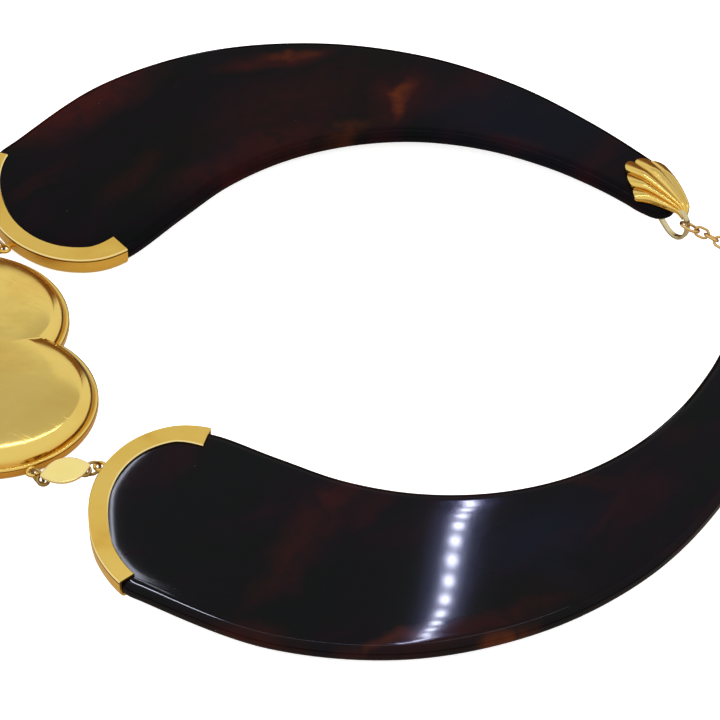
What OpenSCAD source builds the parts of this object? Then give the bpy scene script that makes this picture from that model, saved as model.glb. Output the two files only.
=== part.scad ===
// Collar necklace laid flat: two broad polished plates, a puffed gold heart between them,
// gold end caps and shell bails, and a short cable chain that closes the loop behind.
// The origin is the middle of the neck opening on the surface that the collar lies on.
// -Y is the front, where the heart is, and +Y is the closure behind the neck.

/* [Plates] */
// Thickness of a plate
plate_t = 3.2; // [2.8:0.1:3.6]
// Height of a plate's underside above the surface at its cap
plate_z = 0.8; // [0.8:0.1:1.0]
// Slope at which a plate lies, raised by the bail under its tip
plate_tilt = 1.38; // [1.38:0.01:1.6]
// How far the right plate lies further back than the left one
right_slide = 7.7; // [6:0.1:9]
// Turn of the right plate about its own middle
right_turn = 0.76; // [0:0.02:1.2]

/* [End caps] */
// Width of a cap's strip on top of the plate, at its middle
cap_strip = 4.2; // [3.5:0.1:5.5]
// Sheet thickness of a cap
cap_sheet = 0.5; // [0.45:0.05:0.6]
// Gap between a cap and its plate
cap_gap = 0.1; // [0.05:0.01:0.1]

/* [Heart] */
// Radius of the heart's two lobes at the rim
heart_lobe_r = 22.9; // [22:0.1:24]
// Distance of each lobe's centre from the heart's middle line
heart_lobe_x = 13.4; // [13:0.1:14]
// Direction of the side's tangent point, below the lobe's centre line
heart_side_angle = 42; // [38:1:46]
// Radius of the point of the heart
heart_tip_r = 5; // [3:0.5:7]
// Turn of the heart where it lies
heart_turn = 6.2; // [4:0.1:8]

/* [Links and rings] */
// Length of a navette link
navette_l = 11; // [10:0.1:11]
// Width of a navette link
navette_w = 5.6; // [5.4:0.1:6.4]
// Mean radius of a jump ring
ring_r = 1.7; // [1.6:0.05:1.8]
// Wire radius of a jump ring
ring_wire = 0.35; // [0.3:0.01:0.38]
// Mean radius of a soldered lug or loop
lug_r = 1.15; // [1.1:0.01:1.2]
// Wire radius of a soldered lug or loop
lug_wire = 0.4; // [0.35:0.01:0.42]

/* [Bails] */
// Width of the strap that loops under a plate's tip
strap_w = 1.3; // [1.2:0.1:1.5]
// Thickness of the strap
strap_t = 0.8; // [0.7:0.05:0.9]

/* [Chain] */
// Outer length of a chain link
link_l = 3.9; // [3.8:0.05:4.0]
// Outer width of a chain link
link_w = 2.8; // [2.7:0.05:2.9]
// Wire radius of a chain link
link_wire = 0.34; // [0.3:0.01:0.35]

/* [Hidden] */

gold = [0.83, 0.66, 0.28];
gold_deep = [0.75, 0.52, 0.18];
tortoise = [0.10, 0.05, 0.06];

// The left plate's body: direction from the front of the neck, inner radius, outer radius
BODY = [
    [45, 59.4, 107.5],
    [60, 59.6, 108.1],
    [75, 60.4, 105.8],
    [90, 61.2, 100.3],
    [105, 61.8, 93.4],
    [120, 61.9, 86.3],
    [135, 62.2, 80.7],
    [147, 63.2, 78.6]
];
// The plate's round end under the cap: direction from the nose centre, reach
NOSE = [[9, 21.5], [-10, 23.7], [-30, 24.5], [-50, 24.5], [-70, 24.5], [-90, 24.9], [-112, 26.8], [-132, 29.0]];
nose_centre = [-52.2, -59];
// How far each plate's nose centre lies from the mean, outwards and backwards
nose_shift = [0.8, 1.0];
// Width of a cap's strip: share of the way from the cap's inner end to its outer end, factor
CAP_STRIP = [[0, 1.38], [0.15, 1.15], [0.4, 1], [1, 0.93]];
// The plate's tip under the shell, from the inner wall round to the outer wall: x, y
TIP = [[-28.5, 57.5], [-24.4, 60.3], [-21.4, 63.6], [-21.7, 66.9], [-25.8, 69.5], [-31.2, 70.4], [-36.9, 69.0]];
// Edge of a plate, from the underside up: inset from the wall, height
PLATE_EDGE = [[0.9, 0], [0, 0.8], [0, 1.3], [0.35, 2.1], [1.2, 2.75], [2.6, 3.1], [4.2, 3.2]];
// Edge and crown of the heart, from the underside up: inset from the rim, height
HEART_EDGE = [
    [1.3, 0], [0.4, 0.5], [0, 1.4], [0, 2.5], [0.45, 3.0], [0.9, 2.9],
    [1.1, 3.4], [1.9, 4.3], [3.4, 5.15], [5.4, 5.7], [7.6, 6.0]
];
// Crown of the heart above its edge: share of the last inset outline, height
HEART_CROWN = [[0.72, 6.3], [0.4, 6.5]];

plate_hinge_y = -86;
right_pivot = [78.1, -16];
nose_steps = 4;
body_steps = 4;
tip_steps = 3;

heart_centre = [-0.7, -93.2];
ring_z = 2.35;
// Where each side's rings and link lie, by the centre of each loop: x, y
LEFT_RUN = [[-37.9, -93.9], [-41.2, -94.6], [-40.2, -86.1], [-37.9, -83.2]];
RIGHT_RUN = [[36.1, -85.6], [38.8, -83.7], [37.4, -74.9], [36.7, -71.6]];

// Direction from the plate's tip to the closure, and across it, in plan
strap_along = [0.837, 0.548];
strap_across = [-0.548, 0.837];
strap_origin = [-25.8, 64.1];
// The strap's middle line, from the shell round to the underside: distance past the tip, height
STRAP = [
    [6.4, 4.6], [8.4, 4.3], [9.7, 3.0], [10.0, 1.2], [9.7, -0.8], [8.6, -2.5], [6.8, -3.3],
    [5.0, -2.9], [3.5, -1.8], [2.0, -0.5], [0.2, 0.2], [-2.5, 0.3], [-7, 0.3]
];
strap_steps = 2;
// Front edge of the shell in plan from the inner to the outer side: corner, flute end, dip and so on
SHELL_FRONT = [
    [-25.3, 60.2], [-27.0, 59.4], [-29.4, 60.5], [-31.9, 59.5], [-34.6, 60.5], [-37.9, 60.3],
    [-38.0, 62.6], [-39.0, 64.6], [-37.7, 66.1], [-37.3, 67.9], [-34.5, 69.4]
];
// Inner and outer side of the shell in plan, from the front edge to the strap
SHELL_INNER = [[-25.3, 60.2], [-23.9, 62.6], [-21.8, 64.9], [-19.5, 67.0], [-17.9, 68.3]];
SHELL_OUTER = [[-34.5, 69.4], [-29.4, 70.5], [-24.8, 71.0], [-20.6, 70.8], [-18.5, 69.8]];
flutes = (len(SHELL_FRONT) - 1) / 2;
shell_drop = 1.0;
shell_dome = 1.5;
shell_ridge = 0.8;
shell_sheet = 0.45;
shell_steps = 2;
shell_flute_steps = 3;

lug_points = 14;
wire_sides = 6;
navette_steps = 12;
navette_z = 2.35;
navette_stem = 3;
// Edge of a navette, from the underside up: inset, height
NAVETTE_EDGE = [[0.3, 0], [0, 0.25], [0, 0.6], [0.2, 0.8], [0.45, 0.7]];
left_link_roll = 8;
right_link_roll = 28;
heart_stem = 1.6;
cap_stem = 1.9;
heart_tip_steps = 3;
heart_lobe_steps = 20;
heart_crown_centre = [0, -10];
// Middle of each plate's nose where it lies
left_nose = [-51.4, -60];
right_nose = [53.6, -50.6];

// The closure: where the bail's ring hangs on the strap, past the tip and up
bail_ring_at = 9.9;
bail_ring_z = 1.4;
bail_ring_r = 2.2;
// How far the chain pulls the ring's middle away from the strap, in plan
bail_ring_pull = [0.45, 0.55];
// Number of links each side of the clasp
chain_links = 6;
// Angle between the closure's ends and the straight line across
chain_swing = 58;
// Length over which the chain comes down from a bail to the surface
chain_fall = 22;
// Height of a link's middle where it lies
chain_rest = 1.12;
// Play between neighbouring links
chain_slack = 0.12;
link_bend_steps = 6;
link_roll = 45;
bail_ring_lean = 25;
clasp_r = 1.6;
eye_r = 0.9;
eye_wire = 0.3;

// General functions

function turned(p, a) = [p.x * cos(a) - p.y * sin(a), p.x * sin(a) + p.y * cos(a)];
function reversed(list) = [for (i = [len(list) - 1:-1:0]) list[i]];
function unit2(v) = v / norm(v);
function at_height(points, z) = [for (p = points) [p.x, p.y, z]];

// Smooth curve between p1 and p2 that keeps its shape where the points are unevenly spaced
function curve_point(p0, p1, p2, p3, t) =
    let (
        d0 = sqrt(norm(p1 - p0)),
        d1 = sqrt(norm(p2 - p1)),
        d2 = sqrt(norm(p3 - p2)),
        m1 = d1 * ((p1 - p0) / d0 - (p2 - p0) / (d0 + d1) + (p2 - p1) / d1),
        m2 = d1 * ((p2 - p1) / d1 - (p3 - p1) / (d1 + d2) + (p3 - p2) / d2)
    )
    (2 * t ^ 3 - 3 * t ^ 2 + 1) * p1 + (t ^ 3 - 2 * t ^ 2 + t) * m1
    + (-2 * t ^ 3 + 3 * t ^ 2) * p2 + (t ^ 3 - t ^ 2) * m2;

// Points of a closed smooth curve from control point number first to last, in equal steps
function curve_span(points, first, last, steps) =
    let (n = len(points))
    [
        for (k = [first:last - 1])
            for (i = [0:steps - 1])
                curve_point(points[(k + n - 1) % n], points[k % n], points[(k + 1) % n],
                            points[(k + 2) % n], i / steps)
    ];

// Points of an open smooth curve through all its control points
function open_curve(points, steps) =
    let (
        n = len(points),
        ends = concat([2 * points[0] - points[1]], points, [2 * points[n - 1] - points[n - 2]])
    )
    concat(
        [for (k = [1:n - 1]) for (i = [0:steps - 1])
            curve_point(ends[k - 1], ends[k], ends[k + 1], ends[k + 2], i / steps)],
        [points[n - 1]]
    );

// Outward normals of a closed counter-clockwise outline
function outline_normals(points) =
    let (n = len(points))
    [for (i = [0:n - 1]) let (t = unit2(points[(i + 1) % n] - points[(i + n - 1) % n])) [t.y, -t.x]];

// General modules

// Triangles that close a loop of an even number of points, in a strip from the seam to the far side
function strip_faces(n, seam, first) = [
    for (k = [0:n / 2 - 2])
        let (
            a = first + (seam + k) % n,
            b = first + (seam + k + 1) % n,
            c = first + (seam - 1 - k + n) % n,
            d = first + (seam - 2 - k + n) % n
        )
        each [[d, c, a], [d, a, b]]
];

// Solid lofted through closed loops that run counter-clockwise seen from the last loop's side.
// With a seam, the two ends are closed by strips of triangles.
module loft(loops, seam) {
    n = len(loops[0]);
    m = len(loops);
    top = (m - 1) * n;
    sides = [
        for (j = [0:m - 2])
            for (i = [0:n - 1])
                let (a = j * n + i, b = j * n + (i + 1) % n)
                each [[a, a + n, b + n], [a, b + n, b]]
    ];
    ends = is_undef(seam)
        ? [[for (i = [0:n - 1]) i], [for (i = [n - 1:-1:0]) top + i]]
        : concat(strip_faces(n, seam, 0), [for (f = strip_faces(n, seam, top)) reversed(f)]);
    polyhedron(points = [for (loop = loops) each loop], faces = concat(sides, ends), convexity = 6);
}

// Closed ring of wire along a flat closed path in the XY plane
module wire_loop(path, wire_r, sides) {
    n = len(path);
    normals = outline_normals(path);
    rings = [
        for (i = [0:n - 1])
            for (k = [0:sides - 1])
                let (a = 360 * k / sides)
                [
                    path[i].x + wire_r * cos(a) * normals[i].x,
                    path[i].y + wire_r * cos(a) * normals[i].y,
                    wire_r * sin(a)
                ]
    ];
    faces = [
        for (i = [0:n - 1])
            for (k = [0:sides - 1])
                let (
                    a = i * sides + k,
                    b = i * sides + (k + 1) % sides,
                    c = ((i + 1) % n) * sides + k,
                    d = ((i + 1) % n) * sides + (k + 1) % sides
                )
                each [[a, b, d], [a, d, c]]
    ];
    polyhedron(points = rings, faces = faces, convexity = 4);
}

// Slab between an upper and a lower grid of points
module slab(upper, lower) {
    nu = len(upper);
    nv = len(upper[0]);
    low = nu * nv;
    faces = concat(
        [for (u = [0:nu - 2]) for (v = [0:nv - 2])
            let (a = u * nv + v, b = a + 1, c = a + nv, d = c + 1)
            each [[a, d, c], [a, b, d], [low + a, low + c, low + d], [low + a, low + d, low + b]]],
        [for (v = [0:nv - 2])
            let (a = v, b = v + 1, c = (nu - 1) * nv + v, d = c + 1)
            each [[b, a, low + a], [b, low + a, low + b], [c, d, low + d], [c, low + d, low + c]]],
        [for (u = [0:nu - 2])
            let (a = u * nv, b = a + nv, c = a + nv - 1, d = b + nv - 1)
            each [[a, b, low + b], [a, low + b, low + a], [d, c, low + c], [d, low + c, low + d]]]
    );
    polyhedron(points = concat([for (row = upper) each row], [for (row = lower) each row]),
               faces = faces, convexity = 6);
}

// Lays a plate and what it carries at its slope: the cap end down, the tip raised
module lie() {
    translate([0, plate_hinge_y, 0])
        rotate([plate_tilt, 0, 0])
            translate([0, -plate_hinge_y, 0])
                children();
}

// Puts a left-hand assembly where the right-hand one lies
module right_hand() {
    translate([right_pivot.x, right_pivot.y + right_slide, 0])
        rotate([0, 0, right_turn])
            translate([-right_pivot.x, -right_pivot.y, 0])
                mirror([1, 0, 0])
                    children();
}

// Plate

function polar_front(angle, radius) = [-radius * sin(angle), -radius * cos(angle)];

// side is -1 for the left plate and 1 for the right one
function nose_points(side) = [
    for (row = NOSE)
        nose_centre + [-side * nose_shift.x, side * nose_shift.y] + row[1] * [cos(row[0]), sin(row[0])]
];
function plate_controls(side) = concat(
    nose_points(side),
    [for (row = BODY) polar_front(row[0], row[2])],
    reversed(TIP),
    reversed([for (row = BODY) polar_front(row[0], row[1])])
);
function plate_outline(side) =
    let (
        points = plate_controls(side),
        nose_end = len(NOSE) - 1,
        outer_end = nose_end + len(BODY),
        tip_end = outer_end + len(TIP) + 1,
        all_end = len(points)
    )
    reversed(concat(
        curve_span(points, 0, nose_end, nose_steps),
        curve_span(points, nose_end, outer_end, body_steps),
        curve_span(points, outer_end, tip_end, tip_steps),
        curve_span(points, tip_end, all_end, body_steps)
    ));

module plate(side) {
    outline = plate_outline(side);
    normals = outline_normals(outline);
    n = len(outline);
    lie()
        loft([
            for (row = PLATE_EDGE)
                [for (i = [0:n - 1])
                    let (p = outline[i] - row[0] * normals[i])
                    [p.x, p.y, plate_z + row[1] * plate_t / 3.2]]
        ], n - nose_steps * (len(NOSE) - 1) / 2);
}

// End cap, a folded strip round the plate's nose

function cap_path(side) =
    let (points = plate_controls(side), nose_end = len(NOSE) - 1)
    concat(curve_span(points, 0, nose_end, nose_steps), [points[nose_end]]);

// Section of a strip of the width given: outwards from the plate's wall, height
function cap_section(strip) =
    let (
        low = plate_z - cap_gap,
        high = plate_z + plate_t + cap_gap,
        wall = cap_gap + cap_sheet,
        under = wall - cap_strip + 1,
        over = wall - strip
    )
    [
        [under, 0], [wall - 1.7, 0], [wall - 0.6, 0.45], [wall, 1.5],
        [wall, high + cap_sheet - 0.25], [wall - 0.25, high + cap_sheet], [over, high + cap_sheet],
        [over, high], [cap_gap - 0.15, high], [cap_gap, high - 0.15],
        [cap_gap, low + 0.8], [cap_gap - 0.2, low + 0.3], [cap_gap - 0.7, low], [under, low]
    ];

module cap_channel(side) {
    path = cap_path(side);
    n = len(path);
    tangents = [for (i = [0:n - 1]) unit2(path[min(i + 1, n - 1)] - path[max(i - 1, 0)])];
    lie()
        loft([
            for (i = [0:n - 1])
                let (
                    out = [-tangents[i].y, tangents[i].x],
                    strip = cap_strip * lookup(i / (n - 1), CAP_STRIP)
                )
                [for (s = cap_section(strip)) [path[i].x + s[0] * out.x, path[i].y + s[0] * out.y, s[1]]]
        ], 0);
}

// Soldered lug: a small flat ring on a stem that points at the place given
module lug(at, toward, stem) {
    aim = unit2(toward - at);
    translate([at.x, at.y, ring_z]) {
        wire_loop(circle_path(lug_r, lug_points), lug_wire, wire_sides);
        rotate([0, 0, atan2(aim.y, aim.x)])
            translate([lug_r - lug_wire / 2, -lug_wire, -lug_wire])
                cube([stem - lug_r + lug_wire, 2 * lug_wire, 2 * lug_wire]);
    }
}

function circle_path(r, n) = [for (i = [0:n - 1]) r * [cos(360 * i / n), sin(360 * i / n)]];

module left_cap() {
    color(gold) {
        cap_channel(-1);
        lug(LEFT_RUN[3], left_nose, cap_stem);
    }
}
module right_cap() {
    color(gold) {
        right_hand() cap_channel(1);
        lug(RIGHT_RUN[3], right_nose, cap_stem);
    }
}
module left_plate() {
    color(tortoise) plate(-1);
}
module right_plate() {
    color(tortoise) right_hand() plate(1);
}

// Heart

// Outline at an inset from the rim, counter-clockwise from the point of the heart
function heart_outline(inset) =
    let (
        r = heart_lobe_r - inset,
        tip_r = max(heart_tip_r - inset, 0.3),
        a = heart_side_angle,
        tip_y = -(heart_lobe_x * cos(a) + r - tip_r) / sin(a),
        cleft = 180 - acos(heart_lobe_x / r),
        half = concat(
            [for (i = [0:heart_tip_steps]) let (t = -90 + (90 - a) * i / heart_tip_steps)
                [tip_r * cos(t), tip_y + tip_r * sin(t)]],
            [for (i = [0:heart_lobe_steps]) let (t = -a + (cleft + a) * i / heart_lobe_steps)
                [heart_lobe_x + r * cos(t), r * sin(t)]]
        ),
        n = len(half)
    )
    concat(half, [for (i = [n - 2:-1:1]) [-half[i].x, half[i].y]]);

module heart_body() {
    last = heart_outline(HEART_EDGE[len(HEART_EDGE) - 1][0]);
    loft(concat(
        [for (row = HEART_EDGE) at_height(heart_outline(row[0]), row[1])],
        [for (row = HEART_CROWN)
            at_height([for (p = last) heart_crown_centre + row[0] * (p - heart_crown_centre)], row[1])]
    ));
}
module heart() {
    color(gold) {
        translate([heart_centre.x, heart_centre.y, 0])
            rotate([0, 0, heart_turn])
                heart_body();
        lug(LEFT_RUN[0], heart_centre, heart_stem);
        lug(RIGHT_RUN[0], heart_centre, heart_stem);
    }
}

// Links between the heart and the caps

function navette_outline() =
    let (
        a = navette_l / 2,
        b = navette_w / 2,
        r = (a * a + b * b) / (2 * b),
        half_angle = asin(a / r),
        side = [for (i = [0:navette_steps - 1])
            let (t = half_angle * (2 * i / navette_steps - 1)) [r * sin(t), b - r + r * cos(t)]]
    )
    reversed(concat(side, [for (p = side) -p]));

module link(run, roll) {
    span = run[2] - run[1];
    middle = (run[1] + run[2]) / 2;
    outline = navette_outline();
    normals = outline_normals(outline);
    reach = norm(span) / 2;
    color(gold)
        translate([middle.x, middle.y, ring_z])
            rotate([0, 0, atan2(span.y, span.x)])
                rotate([roll, 0, 0]) {
                    for (end = [-1, 1])
                        translate([end * reach, 0, 0])
                            wire_loop(circle_path(lug_r, lug_points), lug_wire, wire_sides);
                    translate([-reach + lug_r, -lug_wire, -lug_wire])
                        cube([2 * (reach - lug_r), 2 * lug_wire, 2 * lug_wire]);
                    translate([-navette_stem / 2, -lug_wire, 0])
                        cube([navette_stem, 2 * lug_wire, navette_z + 0.3]);
                    loft([
                        for (row = NAVETTE_EDGE)
                            [for (i = [0:len(outline) - 1])
                                let (p = outline[i] - row[0] * normals[i])
                                [p.x, p.y, navette_z + row[1]]]
                    ]);
                }
}
module left_link() {
    link(LEFT_RUN, left_link_roll);
}
module right_link() {
    link(RIGHT_RUN, right_link_roll);
}

// Torus of wire about the Z axis
module torus(mean_r, wire_r) {
    rotate_extrude($fn = 32)
        translate([mean_r, 0])
            circle(r = wire_r, $fn = 16);
}

// Jump ring through the loops centred on a and b
module jump_ring(a, b) {
    color(gold_deep)
        translate([(a.x + b.x) / 2, (a.y + b.y) / 2, ring_z])
            rotate([0, 0, atan2(b.y - a.y, b.x - a.x)])
                rotate([90, 0, 0])
                    torus(ring_r, ring_wire);
}
module left_heart_ring() {
    jump_ring(LEFT_RUN[0], LEFT_RUN[1]);
}
module left_cap_ring() {
    jump_ring(LEFT_RUN[2], LEFT_RUN[3]);
}
module right_heart_ring() {
    jump_ring(RIGHT_RUN[0], RIGHT_RUN[1]);
}
module right_cap_ring() {
    jump_ring(RIGHT_RUN[2], RIGHT_RUN[3]);
}

// Shell bail over a plate's tip

function ridge(v) = abs(sin(180 * flutes * v)) ^ 0.7;

module shell() {
    front = open_curve(SHELL_FRONT, shell_flute_steps);
    inner = open_curve(SHELL_INNER, shell_steps);
    outer = open_curve(SHELL_OUTER, shell_steps);
    rows = len(inner) - 1;
    across = len(front) - 1;
    base = plate_z + plate_t + 0.1;
    // Plan of the shell: the lines from the front edge straighten towards the strap
    plan = [for (i = [0:rows]) [for (j = [0:across])
        let (
            v = j / across,
            bulge = front[j] - (1 - v) * front[0] - v * front[across],
            p = (1 - v) * inner[i] + v * outer[i] + bulge * (1 - i / rows) ^ 1.4
        )
        [p.x, p.y, base - shell_drop * max(0, 4 * i / rows - 3) ^ 2]]];
    upper = [for (i = [0:rows]) [for (j = [0:across])
        let (
            u = i / rows,
            v = j / across,
            round_end = min(1, 0.35 + 3 * u),
            rise = shell_dome * sin(180 * v) * (1 - 0.75 * u) + shell_ridge * ridge(v) * (1 - 0.8 * u)
        )
        plan[i][j] + [0, 0, shell_sheet + round_end * rise]]];
    slab(upper, plan);
}

module strap() {
    path = open_curve(STRAP, strap_steps);
    n = len(path);
    side = strap_across * strap_w / 2;
    loft([
        for (i = [0:n - 1])
            let (
                t = unit2(path[min(i + 1, n - 1)] - path[max(i - 1, 0)]),
                up = [-t.y, t.x] * strap_t / 2
            )
            [for (corner = [[-1, -1], [1, -1], [1, 1], [-1, 1]])
                let (q = path[i] + corner[1] * up)
                [
                    strap_origin.x + q[0] * strap_along.x + corner[0] * side.x,
                    strap_origin.y + q[0] * strap_along.y + corner[0] * side.y,
                    q[1]
                ]]
    ]);
}
module bail() {
    color(gold)
        lie() {
            shell();
            strap();
        }
}
module left_bail() {
    bail();
}
module right_bail() {
    right_hand() bail();
}

// Closure: a ring through each bail, cable links and a plain clasp between them

// Where a point of the left assembly is once it lies at its slope
function lie_point(p) =
    let (y = p.y - plate_hinge_y)
    [p.x, plate_hinge_y + y * cos(plate_tilt) - p.z * sin(plate_tilt), y * sin(plate_tilt) + p.z * cos(plate_tilt)];
function right_point(p) =
    let (q = turned([-p.x, p.y] - right_pivot, right_turn) + right_pivot)
    [q.x, q.y + right_slide, p.z];

bail_hold = strap_origin + bail_ring_at * strap_along + bail_ring_pull;
chain_from = lie_point([bail_hold.x, bail_hold.y, bail_ring_z]);
chain_to = right_point(chain_from);
chain_chord = [chain_to.x - chain_from.x, chain_to.y - chain_from.y];
chain_bend_r = norm(chain_chord) / (2 * sin(chain_swing));
chain_total = chain_bend_r * 2 * chain_swing * PI / 180;
chain_heading = atan2(chain_chord.y, chain_chord.x) + chain_swing;
chain_drop = chain_from.z - chain_rest;
pitch = link_l - 4 * link_wire - chain_slack;
// From a ring's or eye's far wire to the middle of the link that it holds
link_hold = link_l / 2 - 3 * link_wire - chain_slack;

// Place on the closure's line at a length s from the left bail's ring
function chain_at(s) =
    let (
        h = chain_heading - s / chain_bend_r * 180 / PI,
        near = min(s, chain_total - s)
    )
    [
        chain_from.x + chain_bend_r * (sin(chain_heading) - sin(h)),
        chain_from.y + chain_bend_r * (cos(h) - cos(chain_heading)),
        chain_rest + chain_drop * max(0, 1 - near / chain_fall) ^ 2
    ];
function chain_slope(s) = 2 * chain_drop / chain_fall * max(0, 1 - s / chain_fall);
// Lengths at which a half chain's links stand, each a pitch further on
function link_stations(s, count) =
    count == 0 ? [] : concat([s], link_stations(s + pitch / norm([1, chain_slope(s + pitch / 2)]), count - 1));
stations = link_stations((bail_ring_r + link_hold) / norm([1, chain_slope(1)]), chain_links);
eye_at = stations[chain_links - 1] + link_hold + eye_r - 0.04;

// Puts its children at a length s along the closure, with X along it
module on_chain(s, roll) {
    p = chain_at(s);
    d = chain_at(s + 0.5) - chain_at(s - 0.5);
    translate(p)
        rotate([0, -atan2(d.z, norm([d.x, d.y])), atan2(d.y, d.x)])
            rotate([roll, 0, 0])
                children();
}

function link_path() =
    let (
        r = link_w / 2 - link_wire,
        half = link_l / 2 - link_wire - r
    )
    [for (end = [1, -1]) for (i = [0:link_bend_steps])
        let (a = -end * 90 + 180 * i / link_bend_steps)
        [end * half + r * cos(a), r * sin(a)]];

module cable_link() {
    wire_loop(link_path(), link_wire, wire_sides);
}

module half_chain(side) {
    color(gold_deep) {
        on_chain(side < 0 ? 0 : chain_total, roll_of(-1))
            torus(bail_ring_r, ring_wire);
        for (i = [0:chain_links - 1])
            on_chain(side < 0 ? stations[i] : chain_total - stations[i], roll_of(i))
                cable_link();
    }
}
// Roll of a link: alternate ones lie either way, and those near the bail's ring lean with it
function roll_of(i) = (i % 2 == 0 ? link_roll : -link_roll) + max(0, bail_ring_lean - 5 * (i + 1));
module left_chain() {
    half_chain(-1);
}
module right_chain() {
    half_chain(1);
}
module clasp() {
    a = chain_at(eye_at);
    b = chain_at(chain_total - eye_at);
    reach = norm(b - a) / 2 - eye_r;
    color(gold)
        translate([(a.x + b.x) / 2, (a.y + b.y) / 2, 0])
            rotate([0, 0, atan2(b.y - a.y, b.x - a.x)]) {
                translate([0, 0, clasp_r])
                    rotate([0, 90, 0])
                        cylinder(h = 2 * reach, r = clasp_r, center = true, $fn = 32);
                for (end = [-1, 1])
                    translate([end * (reach + eye_r), 0, a.z])
                        rotate([roll_of(chain_links), 0, 0])
                            torus(eye_r, eye_wire);
            }
}

heart();
left_link();
right_link();
left_heart_ring();
left_cap_ring();
right_heart_ring();
right_cap_ring();
left_cap();
right_cap();
left_plate();
right_plate();
left_bail();
right_bail();
left_chain();
right_chain();
clasp();
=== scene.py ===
import logging
import math
from dataclasses import dataclass
from enum import Enum
from functools import cache, reduce
from typing import ClassVar

import bmesh
import bpy
import numpy as np
from bpy.types import Material, Node, NodeSocket, NodeTree, Object
from mathutils import Matrix, Vector


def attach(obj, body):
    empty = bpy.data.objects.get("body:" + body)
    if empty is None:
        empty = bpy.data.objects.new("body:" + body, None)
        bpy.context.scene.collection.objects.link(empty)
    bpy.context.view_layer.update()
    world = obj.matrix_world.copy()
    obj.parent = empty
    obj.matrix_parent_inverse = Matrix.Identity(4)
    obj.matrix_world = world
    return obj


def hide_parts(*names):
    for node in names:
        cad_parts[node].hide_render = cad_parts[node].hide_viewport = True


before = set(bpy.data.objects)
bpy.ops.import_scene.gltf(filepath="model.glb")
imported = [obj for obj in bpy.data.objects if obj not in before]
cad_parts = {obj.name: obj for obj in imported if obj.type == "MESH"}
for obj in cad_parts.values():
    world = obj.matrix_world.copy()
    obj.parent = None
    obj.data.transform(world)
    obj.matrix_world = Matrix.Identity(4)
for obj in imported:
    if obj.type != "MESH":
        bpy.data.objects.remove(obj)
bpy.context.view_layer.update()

LOG = logging.getLogger("collar")
MM = 0.001
# Points nearer than this are one point
WELD = 0.0005

# Lengths are millimetres and angles degrees until a mesh is finished.
# The left plate's body: direction from the front of the neck, inner radius, outer radius
BODY = ((45, 59.4, 107.5), (60, 59.6, 108.1), (75, 60.4, 105.8), (90, 61.2, 100.3),
        (105, 61.8, 93.4), (120, 61.9, 86.3), (135, 62.2, 80.7), (147, 63.2, 78.6))
# The plate's round end under the cap: direction from the nose centre, reach
NOSE = ((9, 21.5), (-10, 23.7), (-30, 24.5), (-50, 24.5),
        (-70, 24.5), (-90, 24.9), (-112, 26.8), (-132, 29.0))
NOSE_CENTRE = (-52.2, -59.0)
NOSE_SHIFT = (0.8, 1.0)
# The plate's tip under the shell, from the inner wall round to the outer wall
TIP = ((-28.5, 57.5), (-24.4, 60.3), (-21.4, 63.6), (-21.7, 66.9),
       (-25.8, 69.5), (-31.2, 70.4), (-36.9, 69.0))
# Underside, thickness and slope of the plates, and the line across that the slope turns about
PLATE_Z = 0.8
PLATE_T = 3.2
PLATE_TILT = 1.38
HINGE_Y = -86.0
# How the right plate lies: where it turns, how far back it slides and its turn
RIGHT_PIVOT = (78.1, -16.0)
RIGHT_SLIDE = 7.7
RIGHT_TURN = 0.76
# Height, radii and wires of the loops and rings
RING_Z = 2.35
LUG_R = 1.15
LUG_WIRE = 0.4
RING_R = 1.7
RING_WIRE = 0.35
WIRE_SIDES = 14
# Centres of the loops on each side's run from the heart to the cap
LEFT_RUN = ((-37.9, -93.9), (-41.2, -94.6), (-40.2, -86.1), (-37.9, -83.2))
RIGHT_RUN = ((36.1, -85.6), (38.8, -83.7), (37.4, -74.9), (36.7, -71.6))


class Side(Enum):
    """Which half of the collar a piece belongs to."""

    LEFT = -1
    RIGHT = 1

    @property
    def word(self) -> str:
        """The side's name as the nodes spell it."""
        return self.name.lower()

    def names(self, piece: str, part: str) -> tuple:
        """Name of a piece on this side and of the node that it stands for."""
        return f"{piece}_{self.word}", f"{self.word}_{part}"

    @property
    def run(self) -> tuple:
        """Centres of the loops between the heart and this side's cap."""
        return LEFT_RUN if self is Side.LEFT else RIGHT_RUN


class Ends(Enum):
    """How a lofted form ends: with flat faces, open, or with its last loop joined to the first."""

    FLAT = "flat"
    OPEN = "open"
    JOINED = "joined"


def rotation(degrees: float, axis: str) -> np.ndarray:
    """Matrix of a turn about the X, Y or Z axis."""
    return np.array(Matrix.Rotation(math.radians(degrees), 3, axis))


def unit(v: np.ndarray) -> np.ndarray:
    """The vector at length one."""
    return v / np.linalg.norm(v)


def curve_point(p: list, t: float) -> np.ndarray:
    """Point on a smooth curve that keeps its shape at uneven spacing.

    Args:
        p: Four control points; the point lies between the second and the third.
        t: Share of the way from the second to the third.

    Returns:
        The point.
    """
    d0, d1, d2 = (math.sqrt(np.linalg.norm(b - a)) for a, b in zip(p, p[1:]))
    m1 = d1 * ((p[1] - p[0]) / d0 - (p[2] - p[0]) / (d0 + d1) + (p[2] - p[1]) / d1)
    m2 = d1 * ((p[2] - p[1]) / d1 - (p[3] - p[1]) / (d1 + d2) + (p[3] - p[2]) / d2)
    return ((2 * t**3 - 3 * t**2 + 1) * p[1] + (t**3 - 2 * t**2 + t) * m1
            + (-2 * t**3 + 3 * t**2) * p[2] + (t**3 - t**2) * m2)


def curve_span(points: np.ndarray, first: int, last: int, steps: int) -> list:
    """Points of a closed smooth curve from one control point up to another, which is left out."""
    return [curve_point([points[(k + i) % len(points)] for i in (-1, 0, 1, 2)], step / steps)
            for k in range(first, last) for step in range(steps)]


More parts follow.
